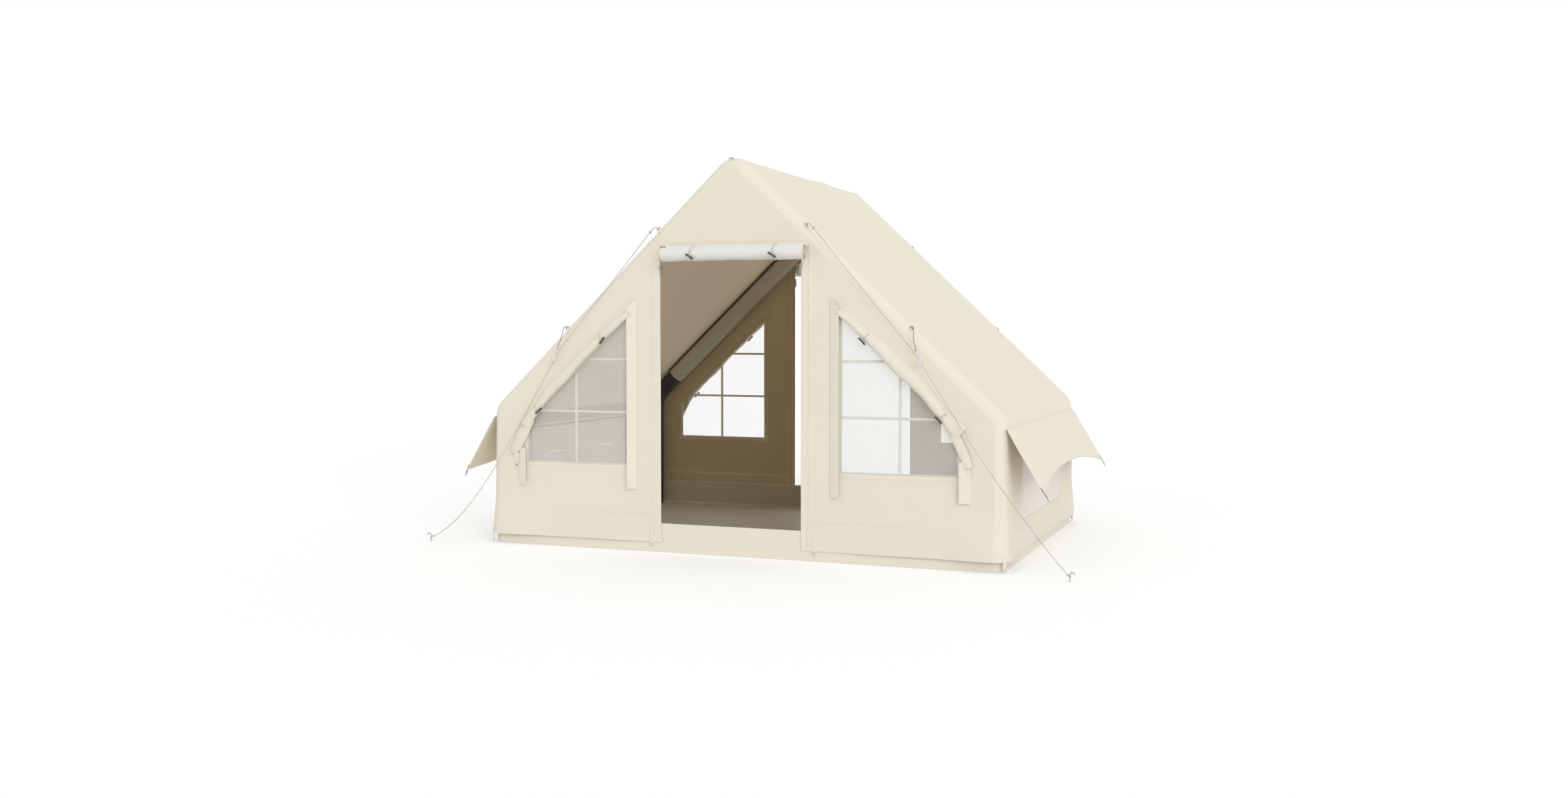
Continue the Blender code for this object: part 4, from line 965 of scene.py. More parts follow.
# Roof: one sheet of coated canvas over the ridge and both eaves, rounded over the beams at
# its ends and hanging a little between them.
EDGE_STRAIGHT = HALF_DEPTH - EDGE_RADIUS
EDGE_REACH = EDGE_STRAIGHT + EDGE_RADIUS * pi / 2
ROOF_WEAVE = (0.0016, 0.3, 0.35, 0.00025)
ROOF_CREAM = (0.900, 0.836, 0.700, 1), (0.860, 0.795, 0.652, 1)
CEILING_PAINTED_LIGHT = (0.95, 0.855, 0.68, 1), (0.90, 0.80, 0.62, 1)
PAINTED_DAYLIGHT = (1.0, 0.78, 0.52, 1)
CEILING_PAINTED_GLOW = 0.058
ROOF_SAG = 0.007
RIDGE_HUMP = 0.006
SEAM_HEIGHT = EAVE_Z
FLANGE_SHADOW_BROWN = (0.19, 0.15, 0.10, 1), (0.12, 0.094, 0.062, 1)
FLANGE_WIDTH = 0.042
LINING_LIFT = -0.0045
PANEL_JOINT_X = 0.44
JOINT_TAPE = 0.010


def shell_slack(s, t):
    """How far the roof or a side wall stands out of its plain shape."""
    if s > outer_length / 2:
        s, flip = outer_length - s, 7.0
    else:
        flip = 0.0
    seam = min(1.0, abs(s - SEAM_HEIGHT) / 0.10)
    flat = soft((EDGE_STRAIGHT - abs(t)) / 0.12)
    place = Vector((t, s, flip))
    fold = drift(t * 1.1 + s * 0.5, s * 5.0 - t * 2.2, flip + 2)
    wave = 0.0035 * noise.noise(place * 1.6) + 0.0016 * fold + 0.0005 * noise.noise(place * 9)
    edge = 0.0012 * drift(t * 3, s * 9, flip) * (1 - flat) * soft((EDGE_REACH - abs(t)) / 0.03)
    sag = 0.0
    if s > SEAM_HEIGHT:
        share = (s - SEAM_HEIGHT) / (outer_length / 2 - SEAM_HEIGHT)
        sag = ROOF_SAG * soft(1 - abs(t) / EDGE_STRAIGHT) * sin(pi * share)
        sag -= RIDGE_HUMP * soft(1 - abs(t - 0.35) / 0.22) * soft(share * 4 - 3)
    foot = flare(s) * (0.45 + 0.55 * soft((abs(t) - 0.6) / 0.35))
    return (wave * flat + edge - 0.001 * flat) * soft(seam) - sag + foot


def shell_spot(t, s, lift=0.0):
    """The place and outward normal of the roof and side walls, at a length t towards the
    rear from the middle, and s from the right foot over the ridge."""
    spot, normal = outer_spot(s)
    turn = max(0.0, abs(t) - EDGE_STRAIGHT) / EDGE_RADIUS
    sign = 1 if t > 0 else -1
    spot = spot - normal * (EDGE_RADIUS * (1 - cos(turn)))
    spot.y = sign * (min(abs(t), EDGE_STRAIGHT) + EDGE_RADIUS * sin(turn))
    normal = (normal * cos(turn) + Vector((0, sign * sin(turn), 0))).normalized()
    return spot + normal * (shell_slack(s, t) + lift), normal


def shell_line(points, spacing=0.02):
    """(spot, normal) along a seam of the shell, through (t, s) points."""
    line = []
    for (t0, s0), (t1, s1) in zip(points, points[1:]):
        steps = max(2, round(dist((t0, s0), (t1, s1)) / spacing))
        line += [shell_spot(t0 + (t1 - t0) * i / steps, s0 + (s1 - s0) * i / steps) for i in range(steps)]
    return line + [shell_spot(*points[-1])]


def shell_seam(t, s):
    half = min(s, outer_length - s)
    near = min(abs(half - SEAM_HEIGHT), abs(s - outer_length / 2) + 0.01)
    return max(soft(1 - near / 0.04), EDGE_PUCKER * soft(1 - (EDGE_REACH - abs(t)) / 0.04))


def cut_shell(outline, spacing):
    """A pattern for the shell, with rows close together where it rounds to the gables."""
    bm = cut_pattern(outline, spacing)
    for share in (0.15, 0.3, 0.45, 0.6, 0.75, 0.88, 0.97):
        t = EDGE_STRAIGHT + (EDGE_REACH - EDGE_STRAIGHT) * share
        for sign in (-1, 1):
            score(bm, (sign * t, 0), (sign * t, 1))
    return bm


def rectangle(half, low, high):
    return [(-half, low), (half, low), (half, high), (-half, high)]


roof_canvas = cloth_finish("roof_cream", *ROOF_CREAM, *ROOF_WEAVE, 0.2, 0.78)
# The ceiling is painted lighter than the roof outside and given a faint painted glow, standing in for
# daylight through the cloth.
lit_ceiling = cloth_finish("roof_inner", *CEILING_PAINTED_LIGHT, *ROOF_WEAVE)
lit_ceiling.shader.inputs["Emission Color"].default_value = PAINTED_DAYLIGHT
lit_ceiling.shader.inputs["Emission Strength"].default_value = CEILING_PAINTED_GLOW
bm = cut_shell(rectangle(EDGE_REACH, SEAM_HEIGHT, outer_length - SEAM_HEIGHT), 0.022)
sew(bm, lambda t, s: shell_spot(t, s)[0], shell_seam)
roof = add_cloth("roof_cloth", bm, [roof_canvas, lit_ceiling], "roof_canvas", CLOTH, ["roof"], lined=True)
round(outer_length - 2 * SEAM_HEIGHT, 3)
panel_joint = min((outer_length * step / 2000 for step in range(1000)),
                  key=lambda s: abs(outer_spot(s)[0].x - PANEL_JOINT_X) + (outer_spot(s)[0].z < EAVE_Z))
reach = EDGE_REACH - 0.002
tapes = []
for low, width in ((SEAM_HEIGHT + 0.003, TAPE), (panel_joint, JOINT_TAPE)):
    tapes += [(shell_line([(-reach, s), (reach, s)]), width) for s in (low, outer_length - low)]
add_tapes("roof_seams", tapes, [seam_tape, inner_tape_shade], "roof_canvas", lined=True)
# The sleeves' sewing flanges on the ceiling are painted dark brown, the shadow that falls beside each sleeve.
flange_shadow_tape = stitched_finish("flange_shadow_tape", *FLANGE_SHADOW_BROWN, FLANGE_WIDTH / 2)
low_end = inside_edge + 0.05
tapes = []
for end in ENDS.values():
    t = end * (HALF_DEPTH - BEAM_INSET - FLANGE_WIDTH / 2)
    line = [shell_spot(t, s, LINING_LIFT) for s in spread(low_end, outer_length - low_end, 160)]
    tapes.append((line, FLANGE_WIDTH))
add_tapes("sleeve_flanges", tapes, [flange_shadow_tape], "beam_sleeve", 0.0012)


# Side walls: low cream panels that wrap round the corners to the gables, each with a netting
# window low in the middle, faced with tape.
SIDE_WINDOW_HALF = 0.600
SIDE_WINDOW_SILL = 0.218
SIDE_WINDOW_HEAD = SEAM_HEIGHT - 0.095
SILL_CORNER = 0.04
HEAD_CORNER = 0.15
NET_LILAC = (0.90, 0.85, 0.81, 1), (0.85, 0.80, 0.76, 1)
SIDE_CREAM_PAINTED_LIGHT = (0.915, 0.855, 0.733, 1), (0.860, 0.795, 0.670, 1)
AWNING_SHADOW_TAN = (0.70, 0.61, 0.455, 1)
BINDING_BROWN = (0.16, 0.125, 0.085, 1), (0.10, 0.078, 0.052, 1)
NET_LAP = 0.018
NET_BACK = -0.0022
FINE_CLOTH = 0.0004
HEAD_BINDING = 0.75
SIDE_BAND = 0.185
SIDE_BAND_TAPE = 0.014
NET_PAINTED_GLOW = (1.0, 0.95, 0.88, 1)


def netting_finish(name, light, shade, cell):
    """Fine netting: closed threads with open cells between them, and a faint painted glow that stands in for
    daylight through it.
    """
    finish = Finish(name, Roughness=0.7, Sheen_Weight=0.15, Emission_Color=NET_PAINTED_GLOW,
                    Emission_Strength=0.06)
    turn = 2 * pi / cell
    lines = (finish.across * turn).sine().size() * (finish.along * turn).sine().size()
    patches = finish.place.noise(6, 3)
    solid = ((0.62 - lines) * 6).clamped()
    return finish.feed(Base_Color=patches.blend(shade, light), Alpha=solid * 0.14 + 0.84,
                       Roughness=patches * 0.2 + 0.6, Normal=lines.relief(0.0002))


def side_opening(grow=0.0):
    """The netting window's outline, rounded more at its head than at its sill."""
    corners = ((1, SIDE_WINDOW_SILL, SILL_CORNER), (1, SIDE_WINDOW_HEAD, -HEAD_CORNER),
               (-1, SIDE_WINDOW_HEAD, -HEAD_CORNER), (-1, SIDE_WINDOW_SILL, SILL_CORNER))
    points = []
    for number, (across, edge, inset) in enumerate(corners):
        centre = (across * (SIDE_WINDOW_HALF - abs(inset)), edge + inset)
        points += arc(centre, abs(inset) + grow, (number - 1) * pi / 2, number * pi / 2, 4)
    return points


netting = netting_finish("side_netting", *NET_LILAC, 0.0036)
dark_binding = stitched_finish("netting_binding", *BINDING_BROWN, 0.004)
# The side walls' canvas is painted a little lighter than the gables', against the awnings' shade.
side_canvas = cloth_finish("canvas_side", *SIDE_CREAM_PAINTED_LIGHT, *CANVAS_WEAVE, hem_dirt=0.12)
# Painted shadow: the side wall turns darker and browner under the awning, fading out towards the corners.
awning_shadow = (((side_canvas.place.part(2) - 0.36) * 3.2).clamped()
             * ((1.04 - side_canvas.place.part(1).size()) * 6).clamped())
side_canvas.feed(Base_Color=(awning_shadow * 0.75).blend(side_canvas.dyed(), AWNING_SHADOW_TAN))
for word, side in SIDES.items():
    def wall_spot(t, z, lift=0.0):
        """The left wall's pattern runs the other way, so that both face outwards."""
        return shell_spot(side * t, z if side > 0 else outer_length - z, lift)

    def wall_line(points, lift=0.0):
        return [wall_spot(*spot, lift) for spot in resample([Vector(p) for p in points], 0.02)]

    name = "side_wall_" + word
    bm = cut_shell(rectangle(EDGE_REACH, HEM_HEIGHT, SEAM_HEIGHT - GAP), PANEL_SPACING)
    cut_hole(bm, side_opening())
    sew(bm, lambda t, z: wall_spot(t, z)[0],
        lambda t, z: max(shell_seam(t, z), soft(1 - (z - HEM_HEIGHT) / 0.04)))
    wall = add_cloth(name + "_canvas", bm, [side_canvas, inner_shade], "canvas", CLOTH, [name], lined=True)
    round(SEAM_HEIGHT - HEM_HEIGHT, 3)
    round(2 * EDGE_REACH * (SEAM_HEIGHT - HEM_HEIGHT)
                        - 2 * SIDE_WINDOW_HALF * (SIDE_WINDOW_HEAD - SIDE_WINDOW_SILL), 3)
    half, tall = SIDE_WINDOW_HALF + NET_LAP, SIDE_WINDOW_HEAD - SIDE_WINDOW_SILL + 2 * NET_LAP
    bm = cut_pattern(rectangle(half, SIDE_WINDOW_SILL - NET_LAP, SIDE_WINDOW_HEAD + NET_LAP), 0.03)
    sew(bm, lambda t, z: wall_spot(t, z, NET_BACK)[0])
    net = add_cloth("side_netting_" + word, bm, [netting], "side_mesh", FINE_CLOTH, ["side_window_" + word])
    round(2 * half, 3)
    middle, head = (0.0, SIDE_WINDOW_SILL - 0.0125), SIDE_WINDOW_HEAD + 0.004
    tapes = [(wall_line([middle, *side_opening(0.0125), middle]), FACING),
             (wall_line([(-reach, hem), (reach, hem)]), FACING)]
    add_tapes(name + "_facings", tapes, [facing_tape], "canvas")
    add_tapes(name + "_seam", [(wall_line([(-reach, SIDE_BAND), (reach, SIDE_BAND)]), SIDE_BAND_TAPE)],
              [seam_tape], "canvas")
    add_tapes(name + "_head_binding", [(wall_line([(-HEAD_BINDING, head), (HEAD_BINDING, head)],
              LINING_LIFT), 0.010)], [dark_binding], "canvas", 0.0012)


# Gable windows: clear film welded behind each opening, with an upright and two level glazing
# bars of pale tape, and a line of the same tape round the edge.
WINDOW_BAR_X = 0.958
WINDOW_BAR_HEIGHTS = (0.7775, 1.075)
FILM_LAP = 0.018
FILM_BACK = -CLOTH - 0.0006
FILM_VEIL = (0.94, 0.94, 0.90, 1), (0.88, 0.88, 0.835, 1)
FILM_CLEAR = {"front": 0.665, "rear": 0.95}
BAR_CREAM = (0.80, 0.80, 0.72, 1), (0.70, 0.70, 0.62, 1)
# Painted glints on the front left film, standing in for light caught by its ripples: each one's middle, half
# length, bow and slant.
FILM_GLINTS = ((-1.095, 0.543, 0.085, 0.016, -0.26), (-0.780, 0.594, 0.058, 0.008, -0.12))


def window_film_finish(name, clearness, glints=()):
    """Clear film over a fine screen: a pale veil that lets part of the view through, with
    the screen's faint lines, a gloss that shows its ripples, and painted glints along given curves."""
    finish = Finish(name, Roughness=0.16, Coat_Weight=0.3, Coat_Roughness=0.06)
    turn = 2 * pi / 0.0062
    grid = (finish.across * turn).sine() * 0.5 + (finish.along * turn).sine() * 0.5
    patches = finish.place.noise(5, 3)
    ripple = finish.place.noise(3.2, 2)
    tone = (patches + grid * 0.08).clamped()
    finish.feed(Base_Color=tone.blend(FILM_VEIL[1], FILM_VEIL[0]), Roughness=patches * 0.12 + 0.10,
                Normal=(ripple * 3).relief(0.004))
    clear = finish.place.node("ShaderNodeBsdfTransparent")
    veil = Wire(finish.tree, finish.shader.outputs[0])
    share = grid * 0.018 + (patches * 0.06 + (1 - clearness) - 0.03)
    # Painted glints: the veil turns solid along each curve.
    for x, z, half, rise, tilt in glints:
        along = (finish.place.part(0) - x) * (1 / half)
        height = finish.place.part(2) - z - along * (half * -tilt) + along * along * rise
        share = share + (1 - height.size() * 420).clamped() * ((1 - along * along) * 1.4).clamped() * 0.55
    mixed = finish.place.node("ShaderNodeMixShader", None, {0: share, 1: clear, 2: veil})
    finish.tree.links.new(mixed.socket, finish.tree.nodes["Material Output"].inputs[0])
    return finish


def head_x(height, grow):
    return WINDOW_INNER + (WINDOW_HEAD + grow / PITCH_COS - height) / PITCH_TAN


def head_z(x, grow):
    return WINDOW_HEAD + grow / PITCH_COS - (x - WINDOW_INNER) * PITCH_TAN


bar_tape = stitched_finish("bar_tape", *BAR_CREAM, 0.02, 0.55)
inner, outer, sill = WINDOW_INNER + 0.004, WINDOW_OUTER - 0.004, WINDOW_SILL + 0.004
BARS = [(x, sill, x, head_z(x, -0.004), width)
        for x, width in ((WINDOW_BAR_X, 0.016), (inner, 0.008), (outer, 0.008))]
BARS.insert(2, (inner, sill, outer, sill, 0.008))
BARS += [(inner, z, min(head_x(z, -0.004), outer), z, 0.014) for z in WINDOW_BAR_HEIGHTS]
for word, end in ENDS.items():
    window_film = window_film_finish(word + "_window_film", FILM_CLEAR[word], FILM_GLINTS if end < 0 else ())
    for side_word, side in SIDES.items():
        name = f"{word}_window_{side_word}"
        bm = cut_pattern(facing(window_outline(FILM_LAP), -end * side), 0.03)
        sew(bm, gable_place(end, FILM_BACK))
        film = add_cloth(name + "_film", bm, [window_film], "window_film", FINE_CLOTH, [name])
        tapes = [(gable_line(end, (side * x0, z0), (side * x1, z1), lift=FILM_BACK), width)
                 for x0, z0, x1, z1, width in BARS]
        add_tapes(name + "_bars", tapes, [bar_tape], "window_film", 0.0026, 0.0010)


# Window covers: the same canvas, sewn along each window's slanting head and rolled up to it,
# with the loose tail folded flat at the low end. The rear right one is let down part way.
TIE = 0.003
# A roll's stations: along the window's slanting head, off it, half width and half thickness.
COVER_ROLL = (
    (-0.030, 0.006, 0.018, 0.018), (0.060, 0.016, 0.024, 0.024), (0.185, 0.020, 0.024, 0.024),
    (0.300, 0.024, 0.028, 0.026), (0.420, 0.024, 0.030, 0.026), (0.560, 0.026, 0.031, 0.026),
    (0.690, 0.018, 0.026, 0.024), (0.765, 0.008, 0.023, 0.023), (0.832, 0.000, 0.031, 0.019),
    (0.880, -0.012, 0.036, 0.013), (0.960, -0.046, 0.035, 0.010), (1.040, -0.078, 0.026, 0.008),
    (1.085, -0.118, 0.014, 0.006), (1.112, -0.165, 0.007, 0.004),
)
COVER_TIES = (2, 7)
ROLLED_COVER = {
    "right": (
        (-0.030, 0.009, 0.012, 0.012), (0.030, 0.015, 0.017, 0.017), (0.090, 0.020, 0.021, 0.021),
        (0.185, 0.022, 0.0235, 0.0235), (0.250, 0.026, 0.027, 0.025), (0.330, 0.025, 0.029, 0.026),
        (0.420, 0.025, 0.032, 0.027), (0.490, 0.028, 0.034, 0.027), (0.560, 0.029, 0.030, 0.026),
        (0.620, 0.026, 0.026, 0.025), (0.700, 0.016, 0.028, 0.025), (0.765, 0.008, 0.0225, 0.0225),
        (0.820, 0.005, 0.033, 0.021), (0.860, 0.003, 0.038, 0.019), (0.895, 0.006, 0.038, 0.014),
    ),
    "left": (
        (-0.030, 0.002, 0.016, 0.014), (0.030, 0.010, 0.023, 0.020), (0.090, 0.014, 0.027, 0.023),
        (0.185, 0.018, 0.0235, 0.0235), (0.250, 0.019, 0.027, 0.025), (0.330, 0.024, 0.030, 0.026),
        (0.400, 0.024, 0.028, 0.025), (0.480, 0.020, 0.031, 0.026), (0.550, 0.022, 0.035, 0.027),
        (0.620, 0.023, 0.031, 0.026), (0.690, 0.018, 0.026, 0.024), (0.765, 0.009, 0.0225, 0.0225),
        (0.830, 0.004, 0.030, 0.020), (0.900, -0.006, 0.038, 0.017),
    ),
}
COVER_TAIL = {
    "right": (
        (0.800, -0.002, 0.018, 0.012), (0.850, -0.018, 0.024, 0.013), (0.900, -0.032, 0.031, 0.014),
        (0.960, -0.055, 0.031, 0.013), (1.000, -0.073, 0.029, 0.012), (1.040, -0.092, 0.026, 0.012),
    ),
    "left": (
        (0.840, -0.010, 0.022, 0.012), (0.880, -0.020, 0.027, 0.013), (0.920, -0.028, 0.037, 0.014),
        (0.960, -0.037, 0.041, 0.014), (1.000, -0.050, 0.039, 0.013), (1.040, -0.060, 0.033, 0.012),
        (1.070, -0.066, 0.026, 0.010),
    ),
}
COVER_CORNER = {
    "right": (
        (1.010, -0.078, 0.026, 0.007), (1.045, -0.110, 0.022, 0.006), (1.080, -0.145, 0.014, 0.004),
        (1.108, -0.173, 0.004, 0.002),
    ),
    "left": (
        (1.040, -0.056, 0.024, 0.007), (1.070, -0.088, 0.020, 0.006), (1.100, -0.122, 0.013, 0.004),
        (1.128, -0.150, 0.004, 0.002),
    ),
}
COVER_TURNS = 3.1
COVER_LAP = 0.030
COVER_LIFT = 0.155
LET_DOWN = ("rear", "right")


def cover_centre(station, end, side):
    """The middle of the roll at a station, as the frame has it."""
    along, off, wide, thick = station
    return Vector((side * (WINDOW_INNER + along * PITCH_COS + off * PITCH_SIN),
                   end * (HALF_DEPTH + GAP + TIE + thick), WINDOW_HEAD - along * PITCH_SIN + off * PITCH_COS))


def window_side(run, end):
    """The way across a cover's roll that leads towards its window."""
    inward = run.cross(Vector((0, end, 0)))
    return -inward if inward.z > 0 else inward


def cover_axes(number, end, side):
    """At one of the roll's stations: its middle, the way down the roll, the way across it
    towards the window, and its half width and half thickness."""
    near = COVER_ROLL[max(0, number - 1)], COVER_ROLL[min(len(COVER_ROLL) - 1, number + 1)]
    run = cover_centre(near[1], end, side) - cover_centre(near[0], end, side)
    run.y = 0
    run.normalize()
    return cover_centre(COVER_ROLL[number], end, side), run, window_side(run, end), *COVER_ROLL[number][2:]


def roll_mesh(name, stations, turns, core, finish_angle, anchor, seed, ruck=0.05, per_turn=16):
    """Cloth wound on itself. Each station is a middle, an across and an out axis, both as
    long as the roll's half size there. Anchor gives where the outer end is sewn down."""
    wound = round(turns * per_turn)
    lead = 3 if anchor else 0
    bm = bmesh.new()
    bmesh.ops.create_grid(bm, x_segments=wound + lead, y_segments=len(stations) - 1, size=0.5)
    bm.verts.ensure_lookup_table()
    layer = bm.loops.layers.uv.new("UVMap")
    flat, number, travelled = {}, 0, 0.0
    for row, (middle, across, out) in enumerate(stations):
        if row:
            travelled += (middle - stations[row - 1][0]).length
        length, last = 0.0, None
        for step in range(wound + lead + 1):
            share = min(1.0, step / wound)
            angle = finish_angle - 2 * pi * turns * (1 - share)
            size = core + (1 - core) * share
            round_x, round_y = cos(angle), sin(angle)
            swell = 1 + ruck * drift(round_x * 0.9, round_y * 0.9 + seed, travelled * 11)
            swell += ruck * 0.6 * drift(round_x * 2.2 + seed, round_y * 2.2, travelled * 30)
            spot = middle + (across * round_x + out * round_y) * (size * swell)
            if step > wound:
                spot = spot.lerp(anchor(middle, across, out), (step - wound) / lead)
            length += (spot - last).length if last else 0.0
            last = spot
            vert = bm.verts[number]
            vert.co = spot
            flat[vert] = (length, travelled)
            number += 1
    for face in bm.faces:
        for loop in face.loops:
            loop[layer].uv = flat[loop.vert]
    return mesh_from(bm, name, 60)


def cover_stations(shape, end, side, spacing=0.013):
    """Stations close together down the whole roll, for roll_mesh."""
    route = [Vector(s[:2]).to_3d() for s in shape]
    sizes = [Vector(s[2:]).to_3d() for s in shape]
    padded = [route[0], *route, route[-1]]
    fine = []
    for i in range(len(route) - 1):
        count = max(1, round((route[i + 1] - route[i]).length / spacing))
        for step in range(count + (i == len(route) - 2)):
            spot = curve_spot(*padded[i:i + 4], step / count)
            size = sizes[i].lerp(sizes[i + 1], soft(step / count))
            fine.append((spot.x, spot.y, size.x, size.y))
    middles = [cover_centre(s, end, side) for s in fine]
    stations = []
    for number, (middle, station) in enumerate(zip(middles, fine)):
        run = middles[min(len(fine) - 1, number + 1)] - middles[max(0, number - 1)]
        run.y = 0
        inward = window_side(run.normalized(), end)
        stations.append((middle, inward * station[2], Vector((0, end * station[3], 0))))
    return stations


def cord_round(middle, across, out, run, radius, count=28):
    """A pair of thin cords round a roll, a little apart and slanting."""
    cords = []
    for shift in (-0.0030, 0.0030):
        line = [spot + run * (shift + 0.003 * cos(2 * pi * i / count))
                for i, spot in enumerate(ring_line(middle, across, out, count))]
        cords.append(tube_mesh("cord", line, radius, 1, closed=True))
    return cords


TIE_CORD = (0.93, 0.88, 0.77, 1), (0.84, 0.78, 0.66, 1)
tie_braid = braid_finish("tie_cord", *TIE_CORD, 0.004, 2400)
for word, end in ENDS.items():
    def hang(u, z):
        """How the cover that is let down hangs, looser the lower it is."""
        loose = soft((WINDOW_HEAD + 0.6 - abs(u) - z) / 0.5)
        fold = 0.006 * drift(u * 9, z * 1.6, 4) + 0.003 * drift(u * 22, z * 3, 8)
        return gable_place(end, CLOTH + 0.0012 + loose * (0.004 + fold))(u, z)

    def sewn_down(middle, across, out):
        spot = middle - across * 1.25
        return Vector((spot.x, end * (HALF_DEPTH + 0.0015), spot.z))

    for side_word, side in SIDES.items():
        name = f"{word}_window_cover_{side_word}"
        wall = f"{word}_wall_{side_word}_canvas"
        if (word, side_word) == LET_DOWN:
            bm = cut_pattern(facing(window_outline(COVER_LAP, COVER_LAP + COVER_LIFT), -end * side), 0.016)
            sew(bm, hang)
            cover = add_cloth(name + "_cloth", bm, [canvas, canvas], "canvas", CLOTH, [name])
            continue
        parts = [(ROLLED_COVER, COVER_TURNS, 222, sewn_down), (COVER_TAIL, 1.7, 205, None),
                 (COVER_CORNER, 1.3, 160, None)]
        mesh = joined([roll_mesh(name, cover_stations(shape[side_word], end, side), turns, 0.12,
                                 radians(angle), anchor, 3.0 * side + end + number, 0.09)
                       for number, (shape, turns, angle, anchor) in enumerate(parts)])
        # Faces of a roll that face its window take the painted inner shade.
        for face in mesh.polygons:
            x, y, z = face.center
            face.material_index = int(abs(y) < HALF_DEPTH + 0.012 and inside((abs(x), z), window_outline()))
        cover = add_cloth(name + "_cloth", mesh, [canvas, inner_shade], "canvas", 0.0013, [name], 0.0)
        cords = []
        for number in COVER_TIES:
            middle, run, inward, wide, thick = cover_axes(number, end, side)
            cords += cord_round(middle, inward * (wide * 1.02 + 0.0012),
                                Vector((0, end * (thick * 1.02 + 0.0012), 0)), run, 0.0015)
        add_piece(name + "_ties", joined(cords), [tie_braid])


# Toggles: grey moulded barrels, ribbed for grip, with a waist that the tie's cord is pulled
# tight in. Each turns on its own tie.
TOGGLE_RADIUS = 0.0055
TOGGLE_LENGTH = 0.050
TOGGLE_GREY = (0.085, 0.092, 0.110, 1), (0.050, 0.055, 0.068, 1)
TOGGLE_SLANTS = {1: (12, -12), -1: (-9, 9)}
DOOR_ROLL_RADIUS = 0.042
DOOR_ROLL_HEIGHT = LINTEL - GAP - TIE - DOOR_ROLL_RADIUS
DOOR_TIES = (-0.205, 0.275)
DOOR_TOGGLE_TURN = radians(20)


def upright_frame(centre, direction, across):
    """A matrix whose Z runs along direction and whose X lies nearest to across."""
    z = Vector(direction).normalized()
    x = (Vector(across) - z * z.dot(Vector(across))).normalized()
    return Matrix.Translation(centre) @ Matrix((x, z.cross(x), z)).transposed().to_4x4()


def spun_mesh(name, profile, steps, place=None):
    """A turned shape: the profile's (radius, height) points spun round the Z axis."""
    bm = bmesh.new()
    verts = [bm.verts.new((radius, 0, height)) for radius, height in profile]
    edges = [bm.edges.new(pair) for pair in zip(verts, verts[1:])]
    bmesh.ops.spin(bm, geom=verts + edges, cent=(0, 0, 0), axis=(0, 0, 1), dvec=(0, 0, 0), angle=2 * pi,
                   steps=steps, use_merge=True)
    bmesh.ops.remove_doubles(bm, verts=bm.verts, dist=1e-6)
    if place is not None:
        bm.transform(place)
    bmesh.ops.recalc_face_normals(bm, faces=bm.faces)
    return mesh_from(bm, name, 35)


def barrel_profile():
    half, full = TOGGLE_LENGTH / 2, TOGGLE_RADIUS
    upper = [(full * 0.70, 0.0), (full * 0.74, 0.0022), (full * 0.96, 0.0040)]
    for rib in range(6):
        z = 0.0055 + rib * 0.0026
        upper += [(full, z), (full, z + 0.0013), (full * 0.90, z + 0.0017), (full * 0.90, z + 0.0022)]
    upper += [(full * 0.98, half - 0.0030), (full * 0.90, half - 0.0012), (full * 0.62, half - 0.0002),
              (0.0, half)]
    return [(r, -z) for r, z in reversed(upper[1:])] + upper


def add_toggle(node, centre, pivot, along, slant):
    lengthwise = Matrix.Rotation(slant, 3, pivot) @ Vector(along)
    mesh = spun_mesh(node, barrel_profile(), 18, upright_frame(centre, lengthwise, pivot))
    add_piece(node + "_barrel", mesh, [toggle_plastic], [node], body=node)


toggle_plastic = moulded_finish("toggle_plastic", *TOGGLE_GREY, 0.42)
for word, end in ENDS.items():
    for side_word, side in SIDES.items():
        lowered = (word, side_word) == LET_DOWN
        for order, number, slant in zip(("upper", "lower"), COVER_TIES, TOGGLE_SLANTS[end * side]):
            middle, run, inward, wide, thick = cover_axes(number, end, side)
            turn = 0 if lowered else radians(45)
            pivot = Vector((0, end, 0)) * cos(turn) + inward * sin(turn)
            reach = thick + TIE + GAP + TOGGLE_RADIUS
            if lowered:
                middle.y = end * (HALF_DEPTH + GAP + CANVAS)
                reach = GAP + TOGGLE_RADIUS
            add_toggle(f"{word}_cover_toggle_{side_word}_{order}", middle + pivot * reach, pivot, run,
                       radians(slant))


# Rolled doors: white cloth panels, unzipped and rolled up to the lintel, their edges bound in
# cream tape, each held by two ties with toggles.
DOOR_WHITE = (0.890, 0.880, 0.835, 1), (0.82, 0.805, 0.755, 1)
DOOR_LEFT, DOOR_RIGHT = -0.388, 0.443
DOOR_TURNS = 9.0
DOOR_SAG = (0.985, 1.0, 1.0, 0.98, 0.955, 0.975, 1.0, 0.975, 0.995, 0.955, 0.985, 1.0, 0.99)

